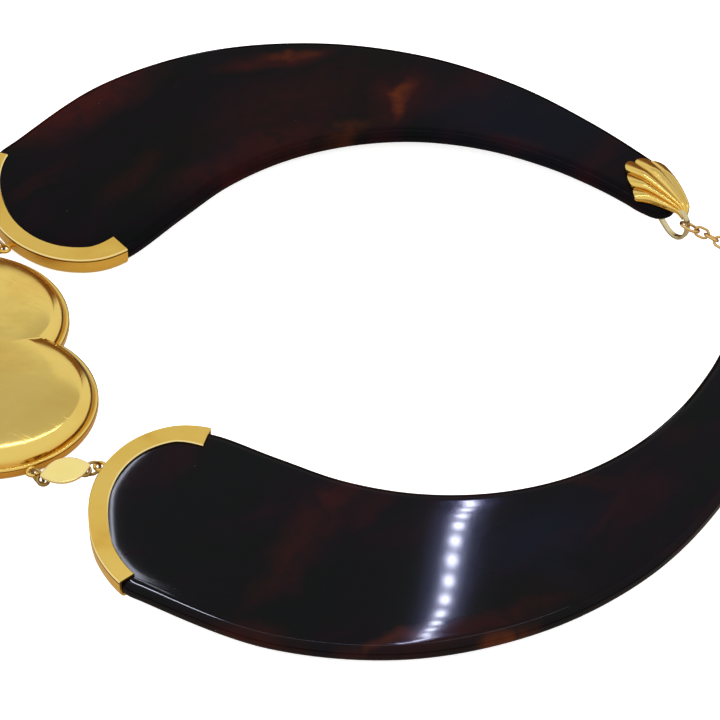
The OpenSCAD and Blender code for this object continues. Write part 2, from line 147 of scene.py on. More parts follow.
def open_curve(controls: tuple, steps: int) -> np.ndarray:
    """Points of an open smooth curve through all its control points.

    Args:
        controls: The control points.
        steps: Points per stretch.

    Returns:
        An array of points that starts and ends on the end controls.
    """
    p = np.array(controls, float)
    p = np.vstack([2 * p[0] - p[1], p, 2 * p[-1] - p[-2]])
    return np.array(curve_span(p, 1, len(p) - 2, steps) + [p[-2]])


def outline_normals(outline: np.ndarray) -> np.ndarray:
    """Outward normals of a closed counter-clockwise outline in plan."""
    t = np.roll(outline, -1, axis=0) - np.roll(outline, 1, axis=0)
    t /= np.linalg.norm(t, axis=1)[:, None]
    return np.stack([t[:, 1], -t[:, 0]], axis=1)


def arc(radius: float, angles: np.ndarray) -> np.ndarray:
    """Points in plan at one distance and at angles in radians."""
    return radius * np.stack([np.cos(angles), np.sin(angles)], axis=-1)


def circle(radius: float, count: int) -> np.ndarray:
    """Points of a circle in plan."""
    return arc(radius, np.linspace(0, 2 * math.pi, count, endpoint=False))


def headings(path: np.ndarray) -> np.ndarray:
    """Direction of an open path in plan at each of its points."""
    steps = np.vstack([path[1:], path[-1:]]) - np.vstack([path[:1], path[:-1]])
    return steps / np.linalg.norm(steps, axis=1)[:, None]


def facing(way: np.ndarray) -> np.ndarray:
    """Matrix of the turn about the upright axis that brings +X into a direction."""
    return rotation(math.degrees(math.atan2(way[1], way[0])), "Z")


def wire_section(at: np.ndarray, out: np.ndarray, wire_r: float) -> np.ndarray:
    """Section of a wire at a point of its path, which lies in plan, with its outward direction."""
    disc = wire_r * circle(1, WIRE_SIDES)
    return np.column_stack([at + np.outer(disc[:, 0], out), disc[:, 1]])


def raised(outline: np.ndarray, z: float) -> np.ndarray:
    """A plan outline as points in space at one height."""
    return np.column_stack([outline, np.full(len(outline), z)])


def at_slope(p: np.ndarray) -> np.ndarray:
    """Points of a plate, cap or bail as they lie at the plate's slope."""
    return (p - (0, HINGE_Y, 0)) @ rotation(PLATE_TILT, "X").T + (0, HINGE_Y, 0)


def to_right(p: np.ndarray) -> np.ndarray:
    """Points of a left-hand piece moved to where the right-hand one lies."""
    mirrored = p * (-1, 1, 1) - (*RIGHT_PIVOT, 0)
    return mirrored @ rotation(RIGHT_TURN, "Z").T + (RIGHT_PIVOT[0], RIGHT_PIVOT[1] + RIGHT_SLIDE, 0)


def placed(p: np.ndarray, side: Side) -> np.ndarray:
    """Points of a sloped piece, in any array, on the side it belongs to."""
    p = at_slope(p)
    return p if side is Side.LEFT else to_right(p)


class Maker:
    """Collects the points and faces of one piece and turns them into an object."""

    def __init__(self) -> None:
        """Starts with nothing."""
        self.points: list[np.ndarray] = []
        self.faces: list[tuple] = []
        self.marks: list[int] = []
        self.count = 0
        self.mark = 0

    def add(self, points: np.ndarray, faces: list) -> None:
        """Adds points with the faces between them.

        Args:
            points: Points in millimetres.
            faces: Tuples of point numbers within these points.
        """
        self.points.append(np.asarray(points, float))
        self.faces += [tuple(i + self.count for i in f) for f in faces]
        self.marks += [self.mark] * len(faces)
        self.count += len(points)

    def loft(self, loops: list, ends: Ends = Ends.FLAT) -> None:
        """Adds a skin through closed loops of one length.

        Args:
            loops: The loops in order, each an array of points.
            ends: How the skin ends.
        """
        n, m = len(loops[0]), len(loops)
        faces = [(j * n + i, j * n + (i + 1) % n, (j + 1) % m * n + (i + 1) % n, (j + 1) % m * n + i)
                 for j in range(m if ends is Ends.JOINED else m - 1) for i in range(n)]
        if ends is Ends.FLAT:
            faces += [tuple(reversed(range(n))), tuple(range((m - 1) * n, m * n))]
        self.add(np.vstack(loops), faces)

    def wire_loop(self, path: np.ndarray, wire_r: float, turn: np.ndarray, at: np.ndarray) -> None:
        """Adds a closed ring of wire along a flat closed path.

        Args:
            path: The wire's middle line in its own plane.
            wire_r: Radius of the wire.
            turn: Matrix that turns the ring's plane.
            at: Where the middle of the path's plane lies.
        """
        self.loft([wire_section(p, n, wire_r) @ turn.T + at for p, n in zip(path, outline_normals(path))],
                  Ends.JOINED)

    def rod(self, start: np.ndarray, end: np.ndarray, wire_r: float) -> None:
        """Adds a straight round rod with slightly rounded ends.

        Args:
            start: Middle of one end.
            end: Middle of the other end.
            wire_r: Radius of the rod.
        """
        along = unit(end - start)
        across = unit(np.cross(along, (0.3, 0.2, 1.0)))
        over = np.cross(along, across)
        disc = circle(1, WIRE_SIDES) @ np.array((across, over))
        self.loft([start + 0.8 * wire_r * disc, start + 0.15 * wire_r * along + wire_r * disc,
                   end - 0.15 * wire_r * along + wire_r * disc, end + 0.8 * wire_r * disc])

    def grid(self, points: np.ndarray) -> None:
        """Adds a sheet from a grid of points, rows by columns by three."""
        rows, cols = points.shape[:2]
        self.add(points.reshape(-1, 3),
                 [(i * cols + j, i * cols + j + 1, (i + 1) * cols + j + 1, (i + 1) * cols + j)
                  for i in range(rows - 1) for j in range(cols - 1)])

    def object(self, name: str, sharp: float) -> Object:
        """Builds the Blender object in metres.

        Args:
            name: The piece's name.
            sharp: Angle above which an edge is drawn sharp.

        Returns:
            The object, at the origin.
        """
        mesh = bpy.data.meshes.new(name)
        mesh.from_pydata(np.vstack(self.points) * MM, [], self.faces)
        mesh.polygons.foreach_set("material_index", self.marks)
        work = bmesh.new()
        work.from_mesh(mesh)
        bmesh.ops.remove_doubles(work, verts=work.verts, dist=WELD * MM)
        bmesh.ops.recalc_face_normals(work, faces=work.faces)
        for face in work.faces:
            face.smooth = True
        for edge in work.edges:
            edge.smooth = len(edge.link_faces) == 2 and edge.calc_face_angle(0.0) < math.radians(sharp)
        work.to_mesh(mesh)
        work.free()
        piece = bpy.data.objects.new(name, mesh)
        bpy.context.scene.collection.objects.link(piece)
        return piece


class Graph:
    """Short ways to add and join nodes in one node tree."""

    def __init__(self, tree: NodeTree) -> None:
        """Works on the tree given."""
        self.tree = tree

    def node(self, kind: str, values: dict | None = None, **settings: object) -> Node:
        """Adds a node.

        Args:
            kind: Its type without the "ShaderNode" before it, or a full type name.
            values: Values or links for its inputs, by name or number.
            settings: Properties of the node.

        Returns:
            The node.
        """
        made = self.tree.nodes.new(kind if kind.startswith("NodeGroup") else f"ShaderNode{kind}")
        for key, value in settings.items():
            setattr(made, key, value)
        self.feed(made, values or {})
        return made

    def feed(self, node: Node, values: dict) -> None:
        """Sets or links inputs of a node.

        Args:
            node: The node.
            values: Values or links, by name or number.
        """
        for key, value in values.items():
            if isinstance(value, NodeSocket):
                self.link(value, node.inputs[key])
            else:
                node.inputs[key].default_value = value

    def math(self, how: str, a: object, b: object = 0.0, clamp: bool = False) -> NodeSocket:
        """Result of a sum on one or two values."""
        return self.node("Math", {0: a, 1: b}, operation=how, use_clamp=clamp).outputs[0]

    def times(self, *factors: object) -> NodeSocket:
        """Product of values."""
        return reduce(lambda a, b: self.math("MULTIPLY", a, b), factors)

    def vector(self, how: str, a: object, b: object) -> NodeSocket:
        """Result of a sum on two vectors."""
        return self.node("VectorMath", {0: a, 1: b}, operation=how).outputs[0]

    def turned(self, vector: object, angle: object) -> NodeSocket:
        """A vector turned about the upright axis by an angle in radians."""
        return self.node("VectorRotate", {"Vector": vector, "Angle": angle},
                         rotation_type="Z_AXIS").outputs[0]

    def spread(self, value: object, low: float, high: float, to_low: float = 0.0,
               to_high: float = 1.0) -> NodeSocket:
        """A value carried smoothly from the range low to high to another range and kept within it."""
        return self.node("MapRange", {0: value, 1: low, 2: high, 3: to_low, 4: to_high},
                         interpolation_type="SMOOTHSTEP").outputs[0]

    def mix(self, share: object, a: object, b: object) -> NodeSocket:
        """A colour between two colours."""
        return self.node("Mix", {0: share, 6: a, 7: b}, data_type="RGBA", clamp_factor=True).outputs[2]

    def noise(self, vector: object, scale: object, detail: float, distortion: float = 0.0) -> NodeSocket:
        """Value of a noise texture."""
        return self.node("TexNoise", {"Vector": vector, "Scale": scale, "Detail": detail,
                                      "Distortion": distortion}).outputs[0]

    def bump(self, strength: float, distance: float, height: NodeSocket, **below: NodeSocket) -> NodeSocket:
        """Normal of a surface that a height raises, over another normal if one is given."""
        return self.node("Bump", {"Strength": strength, "Distance": distance, "Height": height,
                                  **below}).outputs[0]

    def group(self, tree: NodeTree, values: dict) -> Node:
        """Places a shared group with this material's own values."""
        return self.node("Group", values, node_tree=tree)

    def link(self, a: NodeSocket, b: NodeSocket) -> None:
        """Joins an output to an input."""
        self.tree.links.new(a, b)


class Effects:
    """The shader node groups that several finishes share, each built once."""

    @staticmethod
    def begin(name: str, inputs: dict, outputs: dict) -> tuple:
        """Starts a group.

        Args:
            name: The group's name.
            inputs: Starting value of each input: a number, a vector of three or a colour of four.
            outputs: Kind of each output.

        Returns:
            The graph, its inputs and the ends of its outputs.
        """
        tree = bpy.data.node_groups.new(name, "ShaderNodeTree")
        kinds = {1: "Float", 3: "Vector", 4: "Color"}
        for label, value in inputs.items():
            made = tree.interface.new_socket(name=label, in_out="INPUT",
                                             socket_type=f"NodeSocket{kinds[np.size(value)]}")
            made.default_value = value
        for label, kind in outputs.items():
            tree.interface.new_socket(name=label, in_out="OUTPUT", socket_type=f"NodeSocket{kind}")
        graph = Graph(tree)
        return graph, graph.node("NodeGroupInput").outputs, graph.node("NodeGroupOutput").inputs

    @staticmethod
    @cache
    def fine_wear() -> NodeTree:
        """Grain and hairline scratches, as a roughness and a height.

        Returns:
            The group.
        """
        graph, given, out = Effects.begin(
            "Fine Wear",
            {"Vector": (0, 0, 0), "Grain Scale": 900.0, "Scratch Scale": 160.0, "Roughness": 0.2,
             "Grain Share": 0.1, "Scratch Share": 0.1},
            {"Roughness": "Float", "Height": "Float"})
        grain = graph.noise(given["Vector"], given["Grain Scale"], 4.0)
        lines = []
        for turn, squeeze in ((0.6, 22.0), (-0.9, 30.0)):
            drawn = graph.vector("MULTIPLY", graph.turned(given["Vector"], turn), (1.0, squeeze, 1.0))
            lines.append(graph.spread(graph.noise(drawn, given["Scratch Scale"], 2.0), 0.66, 0.74))
        scratches = graph.math("MAXIMUM", *lines)
        swing = graph.times(graph.math("SUBTRACT", grain, 0.5), given["Grain Share"])
        marks = graph.times(scratches, given["Scratch Share"])
        rough = graph.math("ADD", graph.math("ADD", given["Roughness"], swing), marks, clamp=True)
        graph.link(rough, out["Roughness"])
        height = graph.math("SUBTRACT", graph.times(grain, 0.5), graph.times(scratches, 0.6))
        graph.link(height, out["Height"])
        return graph.tree

    @staticmethod
    @cache
    def tone_drift_and_side_shade() -> NodeTree:
        """A metal's colour as it drifts over the surface, with painted shade that deepens it down its steep
        sides.

        Returns:
            The group.
        """
        graph, given, out = Effects.begin(
            "Tone Drift and Side Shade",
            {"Vector": (0, 0, 0), "Upright": 1.0, "Base": (0.8, 0.55, 0.15, 1), "Pale": (0.9, 0.7, 0.3, 1),
             "Deep": (0.6, 0.3, 0.05, 1), "Scale": 60.0, "Pale Share": 0.3, "Deep Share": 0.2,
             "Side Shade Share": 0.5},
            {"Color": "Color"})
        broad = graph.noise(given["Vector"], given["Scale"], 3.0, 0.4)
        pale = graph.times(graph.spread(broad, 0.45, 0.7), given["Pale Share"])
        deep = graph.times(graph.spread(broad, 0.5, 0.3), given["Deep Share"])
        # Painted shade: the steeper the side, the more it takes the deep colour
        side = graph.spread(graph.math("ABSOLUTE", given["Upright"]), 0.85, 0.15)
        shade = graph.math("MAXIMUM", deep, graph.times(side, given["Side Shade Share"]))
        colour = graph.mix(pale, given["Base"], given["Pale"])
        graph.link(graph.mix(shade, colour, given["Deep"]), out["Color"])
        return graph.tree

    @staticmethod
    @cache
    def specks() -> NodeTree:
        """Tiny scattered specks of dust and pits.

        Returns:
            The group.
        """
        graph, given, out = Effects.begin(
            "Specks", {"Vector": (0, 0, 0), "Scale": 300.0, "Size": 0.1}, {"Mask": "Float"})
        cells = graph.node("TexVoronoi", {"Vector": given["Vector"], "Scale": given["Scale"]})
        chosen = graph.spread(graph.node("SeparateColor", {0: cells.outputs["Color"]}).outputs[0], 0.8, 0.86)
        near = graph.math("SUBTRACT", given["Size"], cells.outputs["Distance"])
        spot = graph.spread(graph.math("DIVIDE", near, given["Size"]), 0.0, 0.5)
        graph.link(graph.times(spot, chosen), out["Mask"])
        return graph.tree

    @staticmethod
    @cache
    def cloud() -> NodeTree:
        """One long soft cloud of colour inside the shell.

        Returns:
            The group.
        """
        graph, given, out = Effects.begin(
            "Cloud",
            {"Vector": (0, 0, 0), "Centre": (0, 0, 0), "Heading": 0.0, "Half Length": 10.0, "Half Width": 4.0,
             "Depth": 1.0},
            {"Mask": "Float"})
        away = graph.vector("SUBTRACT", given["Vector"], given["Centre"])
        turned = graph.turned(away, graph.times(given["Heading"], -1.0))
        x, y, _ = graph.node("SeparateXYZ", {0: turned}).outputs
        along = graph.math("DIVIDE", x, given["Half Length"])
        across = graph.math("DIVIDE", y, given["Half Width"])
        reach = graph.math("SQRT", graph.math("ADD", graph.times(along, along), graph.times(across, across)))
        graph.link(graph.times(graph.spread(reach, 1.15, 0.1), given["Depth"]), out["Mask"])
        return graph.tree


class Finish:
    """What a piece is made of; each kind adds the nodes of its own material."""

    name: str

    def fill(self, graph: Graph, shader: Node, here: NodeSocket) -> None:
        """Adds the material's nodes, given its graph, its principled shader and the object coordinates."""
        raise NotImplementedError

    def material(self) -> Material:
        """The finish's material, built the first time.

        Returns:
            The material.
        """
        if self.name not in bpy.data.materials:
            material = bpy.data.materials.new(self.name)
            material.use_nodes = True
            material.node_tree.nodes.clear()
            graph = Graph(material.node_tree)
            shader = graph.node("BsdfPrincipled")
            graph.node("OutputMaterial", {"Surface": shader.outputs[0]})
            self.fill(graph, shader, graph.node("TexCoord").outputs["Object"])
        return bpy.data.materials[self.name]


@dataclass(frozen=True)
class GoldFinish(Finish):
    """A gold-plated finish."""

    name: str
    base: tuple
    pale: tuple
    deep: tuple
    roughness: float
    slot: str = "gold"
    grain_share: float = 0.06
    scratch_share: float = 0.08
    # How far the steep sides darken towards the deep colour: painted shade
    side_shade_share: float = 0.5
    pale_share: float = 0.35
    deep_share: float = 0.25
    bump: float = 0.1
    wobble: float = 0.00001

    def fill(self, graph: Graph, shader: Node, here: NodeSocket) -> None:
        """Adds the metal's tone with painted shade down its steep sides, pits, wear and faint waves.

        Args:
            graph: The material's graph.
            shader: Its principled shader.
            here: The object coordinates.
        """
        upright = graph.node("SeparateXYZ", {0: graph.node("NewGeometry").outputs["Normal"]}).outputs[2]
        tone = graph.group(Effects.tone_drift_and_side_shade(), {
            "Vector": here, "Upright": upright, "Base": (*self.base, 1), "Pale": (*self.pale, 1),
            "Deep": (*self.deep, 1), "Scale": 55.0, "Pale Share": self.pale_share,
            "Deep Share": self.deep_share, "Side Shade Share": self.side_shade_share})
        wear = graph.group(Effects.fine_wear(), {
            "Vector": here, "Grain Scale": 1400.0, "Scratch Scale": 120.0, "Roughness": self.roughness,
            "Grain Share": self.grain_share, "Scratch Share": self.scratch_share})
        pits = graph.group(Effects.specks(), {"Vector": here, "Scale": 420.0, "Size": 0.07})
        grain = graph.bump(self.bump, 0.00005, wear.outputs["Height"])
        graph.feed(shader, {
            "Base Color": graph.mix(graph.times(pits.outputs[0], 0.5), tone.outputs[0], (*self.deep, 1)),
            "Roughness": wear.outputs["Roughness"], "Metallic": 1.0,
            "Normal": graph.bump(1.0, self.wobble, graph.noise(here, 110.0, 2.0, 0.3), Normal=grain)})


@dataclass(frozen=True)
class ShellFinish(Finish):
    """Polished tortoiseshell acetate, near black with red-brown and amber clouds.

    Each cloud has its place in plan, heading, half length, half width and depth of colour.
    """

    name: str
    reds: tuple
    ambers: tuple
    navies: tuple
    slot: str = "tortoiseshell"
    ground: tuple = (0.0032, 0.002, 0.0032)
    olive: tuple = (0.0022, 0.0025, 0.0024)
    navy: tuple = (0.003, 0.0038, 0.008)
    red: tuple = (0.03, 0.0034, 0.0026)
    amber: tuple = (0.085, 0.017, 0.0035)
    dust: tuple = (0.2, 0.19, 0.19)
    gloss: float = 0.08
    grain_heading: float = 128.0

    def clouds(self, graph: Graph, here: NodeSocket, streaks: tuple) -> NodeSocket:
        """The deepest of several clouds at each place.

        Args:
            graph: The material's graph.
            here: Warped coordinates in millimetres.
            streaks: The clouds.

        Returns:
            The mask's socket.
        """
        masks = [graph.group(Effects.cloud(), {
            "Vector": here, "Centre": (x, y, 0), "Heading": math.radians(heading), "Half Length": half_length,
            "Half Width": half_width, "Depth": depth}).outputs[0]
            for x, y, heading, half_length, half_width, depth in streaks]
        return reduce(lambda a, b: graph.math("MAXIMUM", a, b), masks)

    def fill(self, graph: Graph, shader: Node, here: NodeSocket) -> None:
        """Adds the shell's ground, clouds, dust and polish.

        Args:
            graph: The material's graph.
            shader: Its principled shader.
            here: The object coordinates.
        """
        plan = graph.vector("MULTIPLY", here, (1000.0, 1000.0, 0.0))
        swirl = graph.node("TexNoise", {"Vector": plan, "Scale": 0.055, "Detail": 3.0}).outputs["Color"]
        warp = graph.vector("MULTIPLY", graph.vector("SUBTRACT", swirl, (0.5, 0.5, 0.5)), (16.0, 16.0, 0.0))
        warped = graph.vector("ADD", plan, warp)
        along = graph.turned(warped, -math.radians(self.grain_heading))
        drift = graph.noise(graph.vector("MULTIPLY", along, (0.022, 0.075, 0.0)), 1.0, 4.0, 0.6)
        mottle = graph.noise(plan, 0.22, 4.0, 0.8)
        faint = graph.times(graph.spread(drift, 0.52, 0.75), 0.2)
        red = graph.times(self.clouds(graph, warped, self.reds), graph.spread(mottle, 0.25, 0.6, 0.45))
        amber = graph.times(self.clouds(graph, warped, self.ambers), graph.spread(mottle, 0.3, 0.65, 0.35))
        dust = graph.group(Effects.specks(), {"Vector": here, "Scale": 260.0, "Size": 0.035}).outputs[0]
        colour = graph.mix(graph.spread(drift, 0.4, 0.6), (*self.olive, 1), (*self.ground, 1))
        for share, over in ((self.clouds(graph, warped, self.navies), self.navy),
                            (graph.math("MAXIMUM", faint, red), self.red),
                            (amber, self.amber), (graph.times(dust, 0.35), self.dust)):
            colour = graph.mix(share, colour, (*over, 1))
        wear = graph.group(Effects.fine_wear(), {
            "Vector": here, "Grain Scale": 500.0, "Scratch Scale": 60.0, "Roughness": 0.042,
            "Grain Share": 0.01, "Scratch Share": 0.004})
        graph.feed(shader, {
            "Base Color": colour, "Roughness": wear.outputs["Roughness"], "Specular IOR Level": self.gloss,
            "Normal": graph.bump(0.004, 0.00005, wear.outputs["Height"])})


class FloorFinish(Finish):
    """Pale floor with a glow of its own, which polished surfaces mirror brown, darker at a grazing angle, as
    painted shade.
    """

    name = "Pale floor"

    def fill(self, graph: Graph, shader: Node, here: NodeSocket) -> None:
        """Adds the floor's tone and the painted shade that polished surfaces mirror of it.

        Args:
            graph: The material's graph.
            shader: Its principled shader.
            here: The object coordinates.
        """
        tone = graph.mix(graph.noise(here, 6.0, 3.0), (0.93, 0.93, 0.93, 1), (0.96, 0.96, 0.955, 1))
        # Painted shade: polished surfaces mirror the floor dark brown, darker still at a grazing angle, in
        # place of the shade round the parts
        grazing = graph.spread(graph.node("LayerWeight", {"Blend": 0.5}).outputs["Facing"], 0.5, 0.8)
        mirrored = graph.mix(grazing, (0.34, 0.3, 0.25, 1), (0.05, 0.028, 0.015, 1))
        tone = graph.mix(graph.node("LightPath").outputs["Is Glossy Ray"], tone, mirrored)
        graph.feed(shader, {"Base Color": tone, "Emission Color": tone, "Emission Strength": 0.8,
                            "Roughness": 0.85, "Specular IOR Level": 0.1})


# The steep sides of each gold darken towards its deep colour by its side share: painted shade
SATIN_GOLD = GoldFinish("Satin gold", (0.9, 0.61, 0.12), (0.96, 0.7, 0.2), (0.74, 0.36, 0.04), 0.3,
                        side_shade_share=0.45, deep_share=0.45, scratch_share=0.15)
PUFF_GOLD = GoldFinish("Polished puff gold", (0.87, 0.63, 0.16), (0.9, 0.67, 0.22), (0.66, 0.27, 0.02), 0.12,
                       side_shade_share=0.8, wobble=0.00005)
LINK_GOLD = GoldFinish("Pale link gold", (1.0, 0.83, 0.3), (1.0, 0.88, 0.4), (0.66, 0.4, 0.08), 0.3)
SHELL_GOLD = GoldFinish("Bright shell gold", (0.88, 0.61, 0.15), (0.92, 0.7, 0.27), (0.6, 0.33, 0.05), 0.16,
                        grain_share=0.02, scratch_share=0.02, bump=0.03)
# Paler gold on the cap's chamfers and the plaque's rim: a painted highlight
EDGE_HIGHLIGHT_GOLD = GoldFinish("Painted edge highlight gold", (0.98, 0.78, 0.33), (1.0, 0.84, 0.44), (0.8, 0.48, 0.12), 0.2,
                       side_shade_share=0.15)
# Dark gold in the groove under the cap's strip: painted shade
SEAM_SHADE_GOLD = GoldFinish("Painted seam shade gold", (0.3, 0.14, 0.03), (0.38, 0.2, 0.05), (0.16, 0.06, 0.01), 0.5)
STRAP_GOLD = GoldFinish("Greenish strap gold", (0.72, 0.62, 0.36), (0.82, 0.74, 0.5), (0.4, 0.32, 0.14), 0.22)
# Darker gold for the jump rings and the plaque's loops
RING_GOLD = GoldFinish("Dark ring gold", (0.48, 0.32, 0.1), (0.66, 0.47, 0.19), (0.18, 0.09, 0.02), 0.18,
                       "deep_gold", deep_share=0.6)
WIRE_GOLD = GoldFinish("Copper wire gold", (0.8, 0.53, 0.2), (0.88, 0.64, 0.32), (0.46, 0.22, 0.07), 0.2,
                       "deep_gold", side_shade_share=0.35, deep_share=0.6)
LEFT_SHELL = ShellFinish(
    "Tortoiseshell left", gloss=0.03,
    reds=((-88, -61, 123, 30, 12, 1.0), (-60, -21, 118, 34, 8, 0.55), (-95, -12, 98, 17, 5, 0.75),
          (-76, -10, 118, 34, 15, 0.3), (-73, 14, 145, 16, 9, 0.65), (-55, -52, 135, 17, 6, 0.3),
          (-77, 33, 100, 14, 8, 0.25), (-52, 38, 60, 12, 4, 0.3)),
    ambers=((-72, 14.5, 156, 10, 3.2, 0.75), (-63, -1.5, 120, 8, 3, 0.3), (-97, -8, 92, 8, 2.4, 0.4)),
    navies=((-60, 40, 52, 30, 17, 0.9), (-60, -30, 130, 14, 5, 0.3)))
RIGHT_SHELL = ShellFinish(
    "Tortoiseshell right",
    reds=((68, -33, -43, 28, 6.5, 0.34), (55.7, -22.2, -43, 9, 4, 0.5), (38, -55, 128, 12, 7, 0.14),
          (59, 4, 85, 17, 3.6, 0.6), (63, 26, 75, 13, 3, 0.2), (91, -55, 60, 20, 6, 0.5),
          (99, -8, 100, 30, 5, 0.4), (92, 12, 110, 12, 7, 0.08), (52, 47, 100, 9, 5, 0.1)),
    ambers=((104, 0, 105, 9, 3, 0.5), (100, -25, 95, 9, 2.4, 0.3)),
    navies=((76, 10, 110, 22, 10, 0.9), (84, 12, 30, 14, 6, 0.5)))


def settle(maker: Maker, name: str, node: str, sharp: float, *finishes: GoldFinish | ShellFinish) -> Object:
    """Makes a piece of what was collected, dresses it and puts it in the place of its node.

    Args:
        maker: What the piece is made of.
        name: The piece's name.
        node: The node that it stands for.
        sharp: Angle above which an edge is drawn sharp.
        finishes: The piece's finish, then those of its faces with mark 1 and up.

    Returns:
        The piece.
    """
    piece = maker.object(name, sharp)
    for finish in finishes:
        piece.data.materials.append(finish.material())
    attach(piece, "root")
    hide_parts(node)
    LOG.info("%s: %d faces in %s", piece.name, len(piece.data.polygons), finishes[0].name)
    return piece


@dataclass
class PlatePlan:
    """Plan of a plate, shared by the plate and its end cap."""

    side: Side
    nose_steps: int = 10
    body_steps: int = 12
    tip_steps: int = 8

    def controls(self) -> np.ndarray:
        """Control points of the plate's outline.

        Returns:
            An array of points, clockwise from the cap's outer end.
        """
        s = self.side.value
        centre = np.array(NOSE_CENTRE) + (-s * NOSE_SHIFT[0], s * NOSE_SHIFT[1])
        nose = [centre + arc(r, math.radians(a)) for a, r in NOSE]
        body = [(math.radians(a), inner, outer) for a, inner, outer in BODY]
        outer = [(-r * math.sin(a), -r * math.cos(a)) for a, _, r in body]
        inner = [(-r * math.sin(a), -r * math.cos(a)) for a, r, _ in body]
        return np.array(nose + outer + list(reversed(TIP)) + list(reversed(inner)), float)

    def outline(self) -> np.ndarray:
        """The plate's outline.

        Returns:
            An array of points, counter-clockwise.
        """
        p = self.controls()
        ends = (0, len(NOSE) - 1, len(NOSE) - 1 + len(BODY), len(NOSE) + len(BODY) + len(TIP), len(p))
        steps = (self.nose_steps, self.body_steps, self.tip_steps, self.body_steps)
        parts = [q for a, b, n in zip(ends, ends[1:], steps) for q in curve_span(p, a, b, n)]
        return np.array(parts[::-1])

    def cap_path(self) -> np.ndarray:
        """The stretch of the outline under the cap, from the inner end to the outer one."""
        p = self.controls()
        end = len(NOSE) - 1
        return np.array(curve_span(p, 0, end, self.nose_steps) + [p[end]])


@dataclass
class Plate:
    """A broad polished plate with a small rounding at its edge and a faintly crowned face."""

    side: Side
    finish: ShellFinish
    crown: float = 0.055
    crown_reach: float = 3.0
    # Widths of the tip between which the crown grows from nothing to its full height
    narrow: tuple = (6.0, 24.0)
    across: int = 40

    def edge(self) -> np.ndarray:
        """Inset and height of the edge, from the underside up to the face."""
        return open_curve(((0.9, 0), (0.35, 0.25), (0, 0.8), (0, 1.6), (0.05, 2.05), (0.22, 2.5), (0.6, 2.84),
                           (1.0, 3.03), (1.5, 3.135), (2.0, 3.175), (2.6, 3.193), (3.2, 3.2)), 3)

    def build(self) -> Object:
        """Makes and dresses the plate.

        Returns:
            The object.
        """
        plan = PlatePlan(self.side)
        outline = plan.outline()
        normals = outline_normals(outline)
        n = len(outline)
        maker = Maker()
        loops = [raised(outline - inset * normals, PLATE_Z + height) for inset, height in self.edge()]
        maker.loft([placed(loop, self.side) for loop in loops], Ends.OPEN)
        seam = n - plan.nose_steps * (len(NOSE) - 1) // 2
        for loop, crown in ((loops[0], 0.0), (loops[-1], self.crown)):
            a, b = (loop[(start + way * np.arange(n // 2)) % n] for start, way in ((seam, 1), (seam - 1, -1)))
            share = np.linspace(0, 1, self.across)[None, :, None]
            face = a[:, None, :] * (1 - share) + b[:, None, :] * share
            if crown:
                face[:, :, 2] += self.rise(face, loop)
            maker.grid(placed(face, self.side))
        return settle(maker, *self.side.names("tortoiseshell_plate", "plate"), 50, self.finish)

    def rise(self, face: np.ndarray, rim: np.ndarray) -> np.ndarray:
        """Height of the crown over the face's rim.

        Args:
            face: Grid of points on the flat face.
            rim: The face's rim.

        Returns:
            A height for each point of the grid.
        """
        flat = face[:, :, :2].reshape(-1, 1, 2)
        start = rim[None, :, :2]
        step = np.roll(rim[:, :2], -1, axis=0)[None] - start
        t = np.clip(((flat - start) * step).sum(2) / (step**2).sum(2), 0, 1)
        away = np.linalg.norm(flat - start - t[:, :, None] * step, axis=2).min(axis=1).reshape(face.shape[:2])
        width = np.linalg.norm(face[:, 0] - face[:, -1], axis=1)[:, None]
        low, high = self.narrow
        room = np.clip((width - low) / (high - low), 0, 1)
        room = room * room * (3 - 2 * room)
        # The crown keeps its full height round the nose, where the lines across are short
        body = np.arange(len(width))[:, None] < len(width) // 2
        return self.crown * (1 - np.exp(-away / self.crown_reach)) * np.where(body, 1.0, room)


